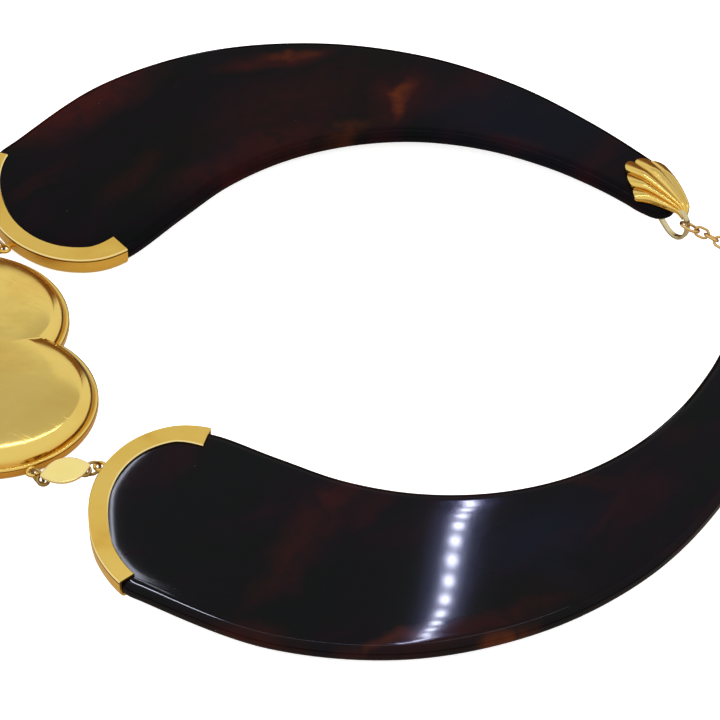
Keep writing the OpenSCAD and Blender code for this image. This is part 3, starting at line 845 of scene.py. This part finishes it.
@dataclass
class EndCap:
    """A folded strip of gold round a plate's end, with a lug towards the heart."""

    side: Side
    finish: GoldFinish
    strip: float = 4.2
    sheet: float = 0.5
    gap: float = 0.1
    stem: float = 1.9
    chamfer: float = 0.22
    # Share of the way round, from the inner end, and share of the strip's width there
    widths: tuple = ((0, 1.38), (0.15, 1.15), (0.4, 1), (1, 0.93))
    # Sides of the section with a painted highlight on the edges (1) and painted shade in the seam under the
    # strip (2)
    edge_marks: ClassVar[dict] = {12: 1, 14: 1, 7: 2, 8: 2, 9: 2, 10: 2}
    # Where the stem of the lug points on each side
    lug_aims: ClassVar[dict] = {Side.LEFT: (-51.4, -60.0), Side.RIGHT: (53.6, -50.6)}

    def section(self, strip: float) -> np.ndarray:
        """Section of the strip: outwards from the plate's wall, height.

        Args:
            strip: Width of the strip on the plate's face.

        Returns:
            The section's points in order.
        """
        low, high = PLATE_Z - self.gap, PLATE_Z + PLATE_T + self.gap
        wall, top, c = self.gap + self.sheet, PLATE_Z + PLATE_T + self.gap + self.sheet, self.chamfer
        under, over = wall - strip + 1, wall - strip
        return np.array((
            (under, 0), (wall - 1.7, 0), (wall - 1.1, 0.12), (wall - 0.6, 0.45), (wall - 0.25, 0.95),
            (wall - 0.02, 1.5), (wall, 2.4), (wall, high - 0.2), (wall - 0.2, high - 0.16),
            (wall - 0.24, high - 0.03), (wall - 0.2, high + 0.04), (wall, high + 0.08), (wall, top - c),
            (wall - c, top), (over + c, top), (over, top - c), (over, high), (self.gap - 0.15, high),
            (self.gap, high - 0.15), (self.gap, low + 0.8), (self.gap - 0.2, low + 0.3),
            (self.gap - 0.7, low), (under, low)))

    def build(self) -> None:
        """Makes and dresses the cap."""
        path = PlatePlan(self.side, nose_steps=12).cap_path()
        shares = np.interp(np.linspace(0, 1, len(path)), *zip(*self.widths))
        loops = []
        for at, way, share in zip(path, headings(path), shares):
            s = self.section(self.strip * share)
            loops.append(placed(np.column_stack([at + s[:, :1] * (-way[1], way[0]), s[:, 1]]), self.side))
        maker = Maker()
        maker.loft(loops)
        m = len(loops[0])
        maker.marks[:-2] = [self.edge_marks.get(i % m, 0) for i in range(len(maker.marks) - 2)]
        add_lug(maker, self.side.run[3], self.lug_aims[self.side], self.stem)
        settle(maker, *self.side.names("end_cap", "cap"), 24, self.finish, EDGE_HIGHLIGHT_GOLD, SEAM_SHADE_GOLD)


def add_lug(maker: Maker, at: tuple, toward: tuple, stem: float) -> None:
    """Adds a soldered lug: a small flat ring on a stem.

    Args:
        maker: The piece that carries it.
        at: Middle of the ring in plan.
        toward: Where the stem points.
        stem: Reach of the stem from the middle.
    """
    middle = np.array((*at, RING_Z), float)
    aim = unit(np.array((*toward, RING_Z), float) - middle)
    maker.wire_loop(circle(LUG_R, 28), LUG_WIRE, np.eye(3), middle)
    maker.rod(middle + (LUG_R - 0.1) * aim, middle + stem * aim, LUG_WIRE)


@dataclass
class HeartPendant:
    """A puffed heart with a rolled rim, a groove and a broad shoulder up to its face."""

    finish: GoldFinish
    lobe_r: float = 22.9
    lobe_x: float = 13.4
    side_angle: float = 42.0
    tip_r: float = 5.0
    turn: float = 6.2
    centre: tuple = (-0.7, -93.2)
    stem: float = 1.6
    tip_steps: int = 8
    lobe_steps: int = 56
    face_steps: int = 26
    top: float = 6.5
    # The face's highest point from the heart's centre
    peak: tuple = (0.0, -10.0)
    # Inset and height of the rolled rim and the groove, then of the shoulder
    rim: tuple = ((1.3, 0), (0.8, 0.12), (0.4, 0.45), (0.1, 0.95), (0, 1.4), (0, 2.0), (0, 2.45),
                  (0.1, 2.75), (0.28, 2.95), (0.48, 3.02), (0.68, 2.98), (0.82, 2.88), (0.9, 2.86),
                  (0.97, 3.0), (1.08, 3.3))
    shoulder: tuple = ((1.08, 3.3), (1.35, 3.85), (1.8, 4.36), (2.3, 4.77), (2.9, 5.12), (3.3, 5.32),
                       (3.8, 5.48), (4.5, 5.62), (5.5, 5.76), (7.0, 5.92), (8.8, 6.07))
    # Inset and share by which the notch is filled there; on the face the share still grows
    fills: tuple = ((3, 0), (4, 0.11), (5.4, 0.29), (7.6, 0.56), (8.8, 0.7))
    face_fill: float = 1.1

    def outline(self, inset: float, fill: float = 0.0) -> np.ndarray:
        """The heart's outline at an inset from its rim.

        Args:
            inset: The inset.
            fill: Share by which the notch between the lobes is filled.

        Returns:
            Points counter-clockwise from the point of the heart.
        """
        r = self.lobe_r - inset
        tip_r = max(self.tip_r - inset, 0.3)
        a = math.radians(self.side_angle)
        tip_y = -(self.lobe_x * math.cos(a) + r - tip_r) / math.sin(a)
        cleft = math.pi - math.acos(self.lobe_x / r)
        tip = arc(tip_r, np.linspace(-math.pi / 2, -a, self.tip_steps + 1)) + (0, tip_y)
        lobe = arc(r, np.linspace(-a, cleft, self.lobe_steps + 1)) + (self.lobe_x, 0)
        notch = (lobe[:, 0] < self.lobe_x) & (lobe[:, 1] > 0)
        lobe[notch, 1] += fill * (r - lobe[notch, 1])
        half = np.vstack([tip, lobe])
        return np.vstack([half, half[-2:0:-1] * (-1, 1)])

    def build(self) -> None:
        """Makes and dresses the heart."""
        puff = open_curve(self.shoulder, 3)
        turn = rotation(self.turn, "Z")
        at = np.array((*self.centre, 0.0))
        fills = np.interp([inset for inset, _ in puff], *zip(*self.fills))
        loops = [raised(self.outline(inset), z) for inset, z in self.rim]
        loops += [raised(self.outline(inset, f), z) for (inset, z), f in zip(puff[1:], fills[1:])]
        middle = np.array(self.peak)
        inset, height = puff[-1]
        for k in np.linspace(1, 0, self.face_steps)[1:]:
            last = self.outline(inset, min(1.0, fills[-1] + self.face_fill * (1 - k)))
            z = self.top - (self.top - height) * k**2
            loops.append(raised(middle + max(k, 0.004) * (last - middle), z))
        maker = Maker()
        maker.loft([loop @ turn.T + at for loop in loops])
        for run in (LEFT_RUN, RIGHT_RUN):
            add_lug(maker, run[0], self.centre, self.stem)
        settle(maker, "puffed_heart", "heart", 38, self.finish)


@dataclass
class NavetteLink:
    """A pointed oval plaque with a bar and two loops behind it."""

    side: Side
    finish: GoldFinish
    length: float = 11.0
    width: float = 5.6
    plaque_z: float = 2.35
    stem: float = 3.0
    steps: int = 30
    # How much further the plaque's points come in than its sides
    point_share: float = 1.9
    # Inset and height of the plaque's rows, and the rows that bound its rim, which carries a painted
    # highlight
    rows: tuple = ((0.3, 0), (0.08, 0.08), (0, 0.25), (0, 0.5), (0.05, 0.66), (0.16, 0.77), (0.3, 0.79),
                   (0.42, 0.72), (0.5, 0.7), (0.9, 0.72), (1.5, 0.76), (2.1, 0.78), (2.75, 0.79))
    rim_rows: tuple = (4, 7)
    leans: ClassVar[dict] = {Side.LEFT: 8, Side.RIGHT: 28}

    def outline(self) -> np.ndarray:
        """The plaque's outline.

        Returns:
            An array of points, counter-clockwise.
        """
        a, b = self.length / 2, self.width / 2
        r = (a * a + b * b) / (2 * b)
        t = math.asin(a / r) * np.linspace(-1, 1, self.steps, endpoint=False)
        side = arc(r, math.pi / 2 - t) + (0, b - r)
        return np.vstack([side, -side])[::-1]

    def build(self) -> None:
        """Makes and dresses the link."""
        run = np.array(self.side.run)
        span = run[2] - run[1]
        reach = np.linalg.norm(span) / 2
        turn = facing(span) @ rotation(self.leans[self.side], "X")
        at = np.array((*(run[1] + run[2]) / 2, RING_Z))
        maker = Maker()
        maker.mark = 1
        for end in (-1, 1):
            middle = turn @ np.array((end * reach, 0, 0)) + at
            maker.wire_loop(circle(LUG_R, 28), LUG_WIRE, turn, middle)
        ends = [turn @ np.array((x, 0, 0)) + at for x in (LUG_R - reach, reach - LUG_R)]
        maker.rod(ends[0], ends[1], LUG_WIRE)
        post = np.array(((-1, -1), (1, -1), (1, 1), (-1, 1))) * (self.stem / 2, LUG_WIRE)
        maker.loft([raised(post, z) @ turn.T + at for z in (0, self.plaque_z + 0.2)])
        outline = self.outline()
        rim = np.array((self.length / 2 / self.point_share, self.width / 2))
        maker.mark = 0
        first, last = (len(maker.marks) + row * len(outline) for row in self.rim_rows)
        maker.loft([raised(outline * (1 - inset / rim), self.plaque_z + z) @ turn.T + at
                    for inset, z in self.rows])
        # The rim takes the paler edge gold: a painted highlight
        maker.marks[first:last] = [2] * (last - first)
        settle(maker, *self.side.names("navette_link", "link"), 40, self.finish, RING_GOLD, EDGE_HIGHLIGHT_GOLD)


@dataclass
class JumpRing:
    """A round ring of wire through two loops, with the fine gap where it was closed."""

    node: str
    ends: tuple
    finish: GoldFinish
    # The gap's place and width, and the share of the wire's radius at the ends beside it
    cut_at: float = 262.5
    cut: float = 3.0
    end_share: float = 0.86
    steps: int = 49

    def build(self) -> None:
        """Makes and dresses the ring."""
        a, b = np.array(self.ends[0]), np.array(self.ends[1])
        turn = facing(b - a) @ rotation(90, "X")
        at = np.array((*(a + b) / 2, RING_Z))
        path = arc(RING_R, np.radians(np.linspace(self.cut_at, self.cut_at + self.cut - 360, self.steps)))
        wires = np.full(len(path), RING_WIRE)
        wires[[0, -1]] *= self.end_share
        maker = Maker()
        maker.loft([wire_section(p, unit(p), wire) @ turn.T + at for p, wire in zip(path, wires)])
        settle(maker, f"jump_{self.node}", self.node, 50, self.finish)


# Ends of the shell's five flutes and the dips between them, from the inner to the outer side
SHELL_TIPS = ((-27.0, 59.3), (-31.9, 59.3), (-37.6, 60.2), (-39.0, 64.5), (-37.0, 68.2))
SHELL_DIPS = ((-25.3, 60.2), (-29.4, 60.5), (-34.6, 60.5), (-38.0, 62.6), (-37.7, 66.1), (-34.5, 69.4))
SHELL_INNER = ((-25.3, 60.2), (-23.9, 62.6), (-21.8, 64.9), (-19.5, 67.0), (-17.9, 68.3))
SHELL_OUTER = ((-34.5, 69.4), (-29.4, 70.5), (-24.8, 71.0), (-20.6, 70.8), (-18.5, 69.8))
# The strap's middle line from the shell round to the underside: distance past the tip, height
STRAP = ((6.4, 4.6), (8.4, 4.3), (9.7, 3.0), (10.0, 1.2), (9.7, -0.8), (8.6, -2.5), (6.8, -3.3),
         (5.0, -2.9), (3.5, -1.8), (2.0, -0.5), (0.2, 0.2), (-2.5, 0.3), (-7, 0.3))
STRAP_ORIGIN = (-25.8, 64.1)
STRAP_ALONG = (0.837, 0.548)
STRAP_ACROSS = (-0.548, 0.837)


@dataclass
class ShellBail:
    """A fluted shell over a plate's tip, with the strap that loops under it."""

    side: Side
    finish: GoldFinish
    flutes: int = 5
    drop: float = 1.0
    dome: float = 1.5
    ridge: float = 0.8
    sheet: float = 0.45
    scallop_steps: int = 18
    strap_w: float = 1.3
    strap_t: float = 0.8
    strap_corner: float = 0.14

    def front(self) -> np.ndarray:
        """The shell's scalloped front edge in plan.

        Returns:
            Points from the inner side to the outer one.
        """
        tips, dips = np.array(SHELL_TIPS), np.array(SHELL_DIPS)
        edge = [dips[0]]
        for tip, a, b in zip(tips, dips, dips[1:]):
            for t in np.linspace(0, math.pi, self.scallop_steps + 1)[1:]:
                middle = (a + b) / 2
                edge.append(middle - math.cos(t) * (b - a) / 2 + max(math.sin(t), 0) ** 0.75 * (tip - middle))
        return np.array(edge)

    def shell(self, maker: Maker) -> None:
        """Adds the fluted shell.

        Args:
            maker: The bail's collected points and faces.
        """
        front, inner, outer = self.front(), open_curve(SHELL_INNER, 7), open_curve(SHELL_OUTER, 7)
        u = np.linspace(0, 1, len(inner))[:, None]
        v = np.linspace(0, 1, len(front))[None, :]
        bulge = front - (1 - v.T) * front[0] - v.T * front[-1]
        plan = ((1 - v)[..., None] * inner[:, None] + v[..., None] * outer[:, None]
                + bulge[None] * ((1 - u) ** 1.4)[..., None])
        base = PLATE_Z + PLATE_T + 0.1 - self.drop * np.clip(4 * u - 3, 0, None) ** 2 + 0 * v
        flute = (0.5 - 0.5 * np.cos(2 * math.pi * self.flutes * v)) ** 0.6
        rise = self.dome * np.sin(math.pi * v) * (1 - 0.75 * u) + self.ridge * flute * (1 - 0.8 * u)
        rise = np.minimum(1, 0.35 + 3 * u) * rise
        upper = np.concatenate([plan, (base + self.sheet + rise)[..., None]], axis=2)
        lower = np.concatenate([plan, base[..., None]], axis=2)
        walls = [np.stack([upper[side], lower[side]])
                 for side in (np.s_[0, :], np.s_[-1, :], np.s_[:, 0], np.s_[:, -1])]
        for sheet in (upper, lower, *walls):
            maker.grid(placed(sheet, self.side))

    def strap(self, maker: Maker) -> None:
        """Adds the strap, a flat band with softened corners.

        Args:
            maker: The bail's collected points and faces.
        """
        path = open_curve(STRAP, 6)
        w, t, c = self.strap_w / 2, self.strap_t / 2, self.strap_corner
        half = np.array(((-w, c - t), (c - w, -t), (w - c, -t), (w, c - t)))
        corners = np.vstack([half, -half])
        loops = []
        for at, way in zip(path, headings(path)):
            q = at + corners[:, 1:] * (-way[1], way[0])
            plan = np.array(STRAP_ORIGIN) + q[:, :1] * STRAP_ALONG + corners[:, :1] * STRAP_ACROSS
            loops.append(placed(np.column_stack([plan, q[:, 1]]), self.side))
        maker.loft(loops)

    def build(self) -> None:
        """Makes and dresses the bail."""
        maker = Maker()
        self.shell(maker)
        maker.mark = 1
        self.strap(maker)
        settle(maker, *self.side.names("shell_bail", "bail"), 40, self.finish, STRAP_GOLD)


@dataclass
class Closure:
    """The line of the chain from one bail to the other, and where each link stands on it."""

    # The ring in the bail: distance along the strap, height, radius and shift in plan
    ring_at: float = 9.9
    ring_z: float = 1.4
    ring_r: float = 2.2
    pull: tuple = (0.45, 0.55)
    links: int = 6
    # Half the arc's angle; the length over which the line comes down to its rest height
    swing: float = 58.0
    fall: float = 22.0
    rest: float = 1.12
    # Play between links, their length, width and wire, and how they roll and lean
    slack: float = 0.12
    link_l: float = 3.9
    link_w: float = 2.8
    wire: float = 0.34
    roll: float = 45.0
    lean: float = 25.0
    eye_r: float = 0.9
    eye_dip: float = 0.04

    def __post_init__(self) -> None:
        """Works out the arc, how far apart the links stand, their stations and the clasp's eye."""
        hold = np.array(STRAP_ORIGIN) + self.ring_at * np.array(STRAP_ALONG) + self.pull
        self.start = at_slope(np.array([(*hold, self.ring_z)]))[0]
        self.end = to_right(self.start[None])[0]
        chord = (self.end - self.start)[:2]
        self.bend_r = np.linalg.norm(chord) / (2 * math.sin(math.radians(self.swing)))
        self.total = self.bend_r * 2 * math.radians(self.swing)
        self.heading = math.atan2(chord[1], chord[0]) + math.radians(self.swing)
        self.drop = self.start[2] - self.rest
        pitch = self.link_l - 4 * self.wire - self.slack
        self.hold = self.link_l / 2 - 3 * self.wire - self.slack
        self.stations = [(self.ring_r + self.hold) / math.hypot(1, self.slope(1))]
        while len(self.stations) < self.links:
            s = self.stations[-1]
            self.stations.append(s + pitch / math.hypot(1, self.slope(s + pitch / 2)))
        self.eye_at = self.stations[-1] + self.hold + self.eye_r - self.eye_dip

    def slope(self, s: float) -> float:
        """How steeply the chain comes down at a length from its end."""
        return 2 * self.drop / self.fall * max(0.0, 1 - s / self.fall)

    def at(self, s: float) -> np.ndarray:
        """Place on the chain's line.

        Args:
            s: Length from the left bail's ring.

        Returns:
            A point in millimetres.
        """
        h = self.heading - s / self.bend_r
        near = min(s, self.total - s)
        return np.array((self.start[0] + self.bend_r * (math.sin(self.heading) - math.sin(h)),
                         self.start[1] + self.bend_r * (math.cos(h) - math.cos(self.heading)),
                         self.rest + self.drop * max(0.0, 1 - near / self.fall) ** 2))

    def turn_at(self, s: float, roll: float) -> np.ndarray:
        """Matrix of a link that stands at a length along the line.

        Args:
            s: Length from the left bail's ring.
            roll: Turn about the line.

        Returns:
            A 3 by 3 array.
        """
        d = self.at(s + 0.5) - self.at(s - 0.5)
        pitch = math.degrees(math.atan2(d[2], math.hypot(d[0], d[1])))
        return facing(d) @ rotation(-pitch, "Y") @ rotation(roll, "X")

    def roll_of(self, i: int) -> float:
        """Roll of a link: alternate ones lie either way, and those near the ring lean with it."""
        return (self.roll if i % 2 == 0 else -self.roll) + max(0.0, self.lean - 5 * (i + 1))

    def link_path(self) -> np.ndarray:
        """Middle line of a link's wire."""
        r = self.link_w / 2 - self.wire
        end = arc(r, np.radians(np.linspace(-90, 90, 11))) + (self.link_l / 2 - self.wire - r, 0)
        return np.vstack([end, -end])


@dataclass
class CableChain:
    """Half of the closing chain: a ring through the bail and cable links."""

    side: Side
    finish: GoldFinish
    line: Closure

    def build(self) -> None:
        """Makes and dresses the chain."""
        line, maker = self.line, Maker()
        left = self.side is Side.LEFT
        s = 0.0 if left else line.total
        maker.wire_loop(circle(line.ring_r, 40), RING_WIRE, line.turn_at(s, line.roll_of(-1)), line.at(s))
        for i, station in enumerate(line.stations):
            s = station if left else line.total - station
            maker.wire_loop(line.link_path(), line.wire, line.turn_at(s, line.roll_of(i)), line.at(s))
        settle(maker, *self.side.names("cable_chain", "chain"), 50, self.finish)


@dataclass
class BarrelClasp:
    """A small barrel clasp with beaded rims, a seam and an eye at each end."""

    finish: GoldFinish
    line: Closure
    radius: float = 1.6
    eye_wire: float = 0.3
    # Place along the barrel and share of its radius: from its end, then from its middle
    rim: tuple = ((0, 0.75), (0.1, 0.92), (0.28, 1), (0.5, 0.97), (0.62, 0.88), (0.8, 0.88), (1.0, 0.93))
    seam: tuple = ((-0.25, 0.95), (-0.12, 0.95), (-0.06, 0.86))

    def build(self) -> None:
        """Makes and dresses the clasp."""
        line, maker = self.line, Maker()
        a, b = line.at(line.eye_at), line.at(line.total - line.eye_at)
        reach = np.linalg.norm(b - a) / 2 - line.eye_r
        turn = facing(b - a)
        middle = np.array((*((a + b) / 2)[:2], self.radius))
        half = [(x - reach, y) for x, y in self.rim] + list(self.seam)
        profile = half + [(-x, y) for x, y in reversed(half)]
        disc = circle(self.radius, 40)
        maker.loft([np.column_stack([np.full(40, x), y * disc]) @ turn.T + middle for x, y in profile])
        for end in (-1, 1):
            at = turn @ np.array((end * (reach + line.eye_r), 0, 0)) + (*middle[:2], a[2])
            maker.wire_loop(circle(line.eye_r, 28), self.eye_wire,
                            turn @ rotation(line.roll_of(line.links), "X"), at)
        settle(maker, "barrel_clasp", "clasp", 40, self.finish)


@dataclass
class Studio:
    """Pale floor, soft surrounding light, the lamps and the camera."""

    camera_at: tuple = (538.85, -125.12, 471.29)
    forward: tuple = (-0.7372, 0.1588, -0.6568)
    right: tuple = (0.1903, 0.98144, 0.02364)
    lens: float = 164.95
    # The row of small lamps: its middle, direction and shift along it, then how many and how far apart
    lamp_middle: tuple = (-538.3, 123.4, 644.8)
    lamp_along: tuple = (0.87, -0.333, 0.365)
    lamp_offset: float = 40.0
    lamp_count: int = 19
    lamp_pitch: float = 11.0
    lamp_size: float = 5.0
    lamp_radiance: float = 230.0
    lamp_tint: tuple = (0.78, 0.82, 1.0)
    # Width and radiance of each glow round the row
    glows: tuple = ((11.0, 14.0), (24.0, 2.4))
    glow_tint: tuple = (0.3, 0.33, 1.0)
    # Corners of the lamps over the plate's crease and nose, each with its width and radiance
    crease: tuple = ((-690, -140, 590), (-400, -90, 745))
    crease_face: tuple = (22.0, 170.0)
    nose: tuple = ((-638, -15, 599), (-608, -44, 618), (-571, -51, 641), (-533, -25, 660))
    nose_face: tuple = (4.0, 50.0)
    # Middles of the bar and the far lamps, each with its sides and radiance
    bar: tuple = (-422, -20, 795)
    bar_face: tuple = ((500, 14), 16.0)
    far: tuple = ((-1200, 60, 300), (-1200, -260, 330))
    far_face: tuple = ((50, 50), 12.0)
    # Where the tent's far side fades in, and the foot, head, sides and tone of its window and its skirt
    far_side: tuple = (0.2, 0.4)
    window: tuple = ((0.628, 0.648), (0.885, 0.85), (0.8, 0.65), (0.58, 0.58, 0.6))
    skirt: tuple = ((-0.12, -0.02), (0.52, 0.44), (0.85, 0.6), (0.2, 0.09, 0.035))
    # The place that every lamp faces, and the floor's height and half width
    lit: tuple = (80.0, -8.0, 4.0)
    floor_z: float = -0.05
    floor_reach: float = 3000.0

    def floor(self) -> None:
        """Lays the pale floor."""
        ends = (-self.floor_reach, self.floor_reach)
        maker = Maker()
        maker.grid(np.array([[(x, y, self.floor_z) for x in ends] for y in ends]))
        floor = maker.object("floor", 50)
        floor.data.materials.append(FloorFinish().material())

    def surroundings(self) -> None:
        """Sets the soft light from all round, with a darker window and a brown skirt on the far side."""
        world = bpy.data.worlds.new("Light tent")
        bpy.context.scene.world = world
        world.use_nodes = True
        world.node_tree.nodes.clear()
        graph = Graph(world.node_tree)
        direction = graph.node("TexCoord").outputs["Generated"]
        x, y, z = graph.node("SeparateXYZ", {0: direction}).outputs
        ahead = graph.times(x, -1.0)
        far = graph.spread(ahead, *self.far_side)
        aside = graph.math("DIVIDE", graph.math("ABSOLUTE", y), graph.math("MAXIMUM", ahead, 0.05))
        tent = graph.mix(graph.spread(z, -0.2, 0.9), (0.86, 0.85, 0.83, 1), (0.87, 0.87, 0.88, 1))
        for foot, head, sides, tone in (self.window, self.skirt):
            upright = graph.times(graph.spread(z, *foot), graph.spread(z, *head))
            panel = graph.times(upright, far, graph.spread(aside, *sides))
            tent = graph.mix(panel, tent, (*tone, 1))
        rays = graph.node("LightPath")
        plain = graph.math("MAXIMUM", rays.outputs["Is Camera Ray"], rays.outputs["Is Diffuse Ray"])
        shown = graph.mix(plain, tent, (1.3, 1.3, 1.3, 1))
        graph.node("OutputWorld", {"Surface": graph.node("Background", {"Color": shown}).outputs[0]})

    def lamp(self, name: str, at: np.ndarray, along: np.ndarray, size: tuple, radiance: float) -> Object:
        """Adds one flat lamp.

        Args:
            name: The lamp's name.
            at: Its place.
            along: Direction of its first side.
            size: Its two sides.
            radiance: How bright its face is.

        Returns:
            The lamp.
        """
        data = bpy.data.lights.new(name, "AREA")
        data.shape = "RECTANGLE"
        data.size, data.size_y = size[0] * MM, size[1] * MM
        data.energy = radiance * math.pi * data.size * data.size_y
        data.color = self.lamp_tint
        lamp = bpy.data.objects.new(name, data)
        bpy.context.scene.collection.objects.link(lamp)
        back = Vector(at) - Vector(self.lit)
        first = (Vector(along) - back * (Vector(along).dot(back) / back.length_squared)).normalized()
        back.normalize()
        basis = Matrix((first, back.cross(first), back)).transposed().to_4x4()
        lamp.matrix_world = Matrix.Translation(Vector(at) * MM) @ basis
        lamp.visible_camera = False
        return lamp

    def strips(self, name: str, corners: tuple, face: tuple) -> list:
        """Adds flat lamps along a line with corners.

        Args:
            name: The first part of their names.
            corners: Where the line starts, turns and ends.
            face: Their width and radiance.

        Returns:
            The lamps.
        """
        made = []
        for i, (start, end) in enumerate(zip(corners, corners[1:])):
            way = np.subtract(end, start)
            size = (float(np.linalg.norm(way)), face[0])
            made.append(self.lamp(f"{name}_{i}", start + way / 2, way, size, face[1]))
        return made

    def lamps(self, glossed: Object) -> None:
        """Hangs the lamps that only the nearer plate shows, then a bar and two far lamps.

        Args:
            glossed: The nearer plate.
        """
        along = unit(np.array(self.lamp_along))
        middle = np.array(self.lamp_middle) + self.lamp_offset * along
        row = []
        for i in range(self.lamp_count):
            at = middle + (i - (self.lamp_count - 1) / 2) * self.lamp_pitch * along
            row.append(self.lamp(f"lamp_{i:02d}", at, along, (self.lamp_size,) * 2, self.lamp_radiance))
            row[-1].data.shape = "DISK"
        for i, (width, radiance) in enumerate(self.glows):
            size = (self.lamp_count * self.lamp_pitch, width)
            row.append(self.lamp(f"lamp_glow_{i}", middle, along, size, radiance))
            row[-1].data.color = self.glow_tint
        row += self.strips("lamp_crease", self.crease, self.crease_face)
        row += self.strips("lamp_nose", self.nose, self.nose_face)
        group = bpy.data.collections.new("glossed")
        group.objects.link(glossed)
        for lamp in row:
            lamp.light_linking.receiver_collection = group
        self.lamp("lamp_bar", self.bar, (0, 1, 0), *self.bar_face)
        for i, at in enumerate(self.far):
            self.lamp(f"lamp_far_{i}", at, (0, 1, 0), *self.far_face)

    def camera(self) -> None:
        """Puts the camera at the photo's angle."""
        data = bpy.data.cameras.new("camera")
        data.lens = self.lens
        data.sensor_width = 36.0
        data.clip_start, data.clip_end = 0.01, 50.0
        camera = bpy.data.objects.new("camera", data)
        bpy.context.scene.collection.objects.link(camera)
        f, r = Vector(self.forward).normalized(), Vector(self.right).normalized()
        up = r.cross(f).normalized()
        basis = Matrix((r, up, -f)).transposed().to_4x4()
        camera.matrix_world = Matrix.Translation(Vector(self.camera_at) * MM) @ basis
        bpy.context.scene.camera = camera

    def build(self, glossed: Object) -> None:
        """Sets up everything round the object.

        Args:
            glossed: The nearer plate, which alone shows the row of small lamps.
        """
        self.floor()
        self.surroundings()
        self.lamps(glossed)
        self.camera()
        bpy.context.scene.view_settings.view_transform = "Standard"
        LOG.info("studio: floor, %d lamps and the camera", len(bpy.data.lights))


def main() -> None:
    """Builds the necklace piece by piece, then the studio round it."""
    logging.basicConfig(level=logging.INFO, format="%(name)s: %(message)s")
    HeartPendant(PUFF_GOLD).build()
    for side, shell in ((Side.LEFT, LEFT_SHELL), (Side.RIGHT, RIGHT_SHELL)):
        plate = Plate(side, shell).build()
        EndCap(side, SATIN_GOLD).build()
        NavetteLink(side, LINK_GOLD).build()
        JumpRing(f"{side.word}_heart_ring", side.run[:2], RING_GOLD).build()
        JumpRing(f"{side.word}_cap_ring", side.run[2:], RING_GOLD).build()
        ShellBail(side, SHELL_GOLD).build()
    line = Closure()
    for side in Side:
        CableChain(side, WIRE_GOLD, line).build()
    BarrelClasp(SHELL_GOLD, line).build()
    Studio().build(plate)


if __name__ == "__main__":
    main()
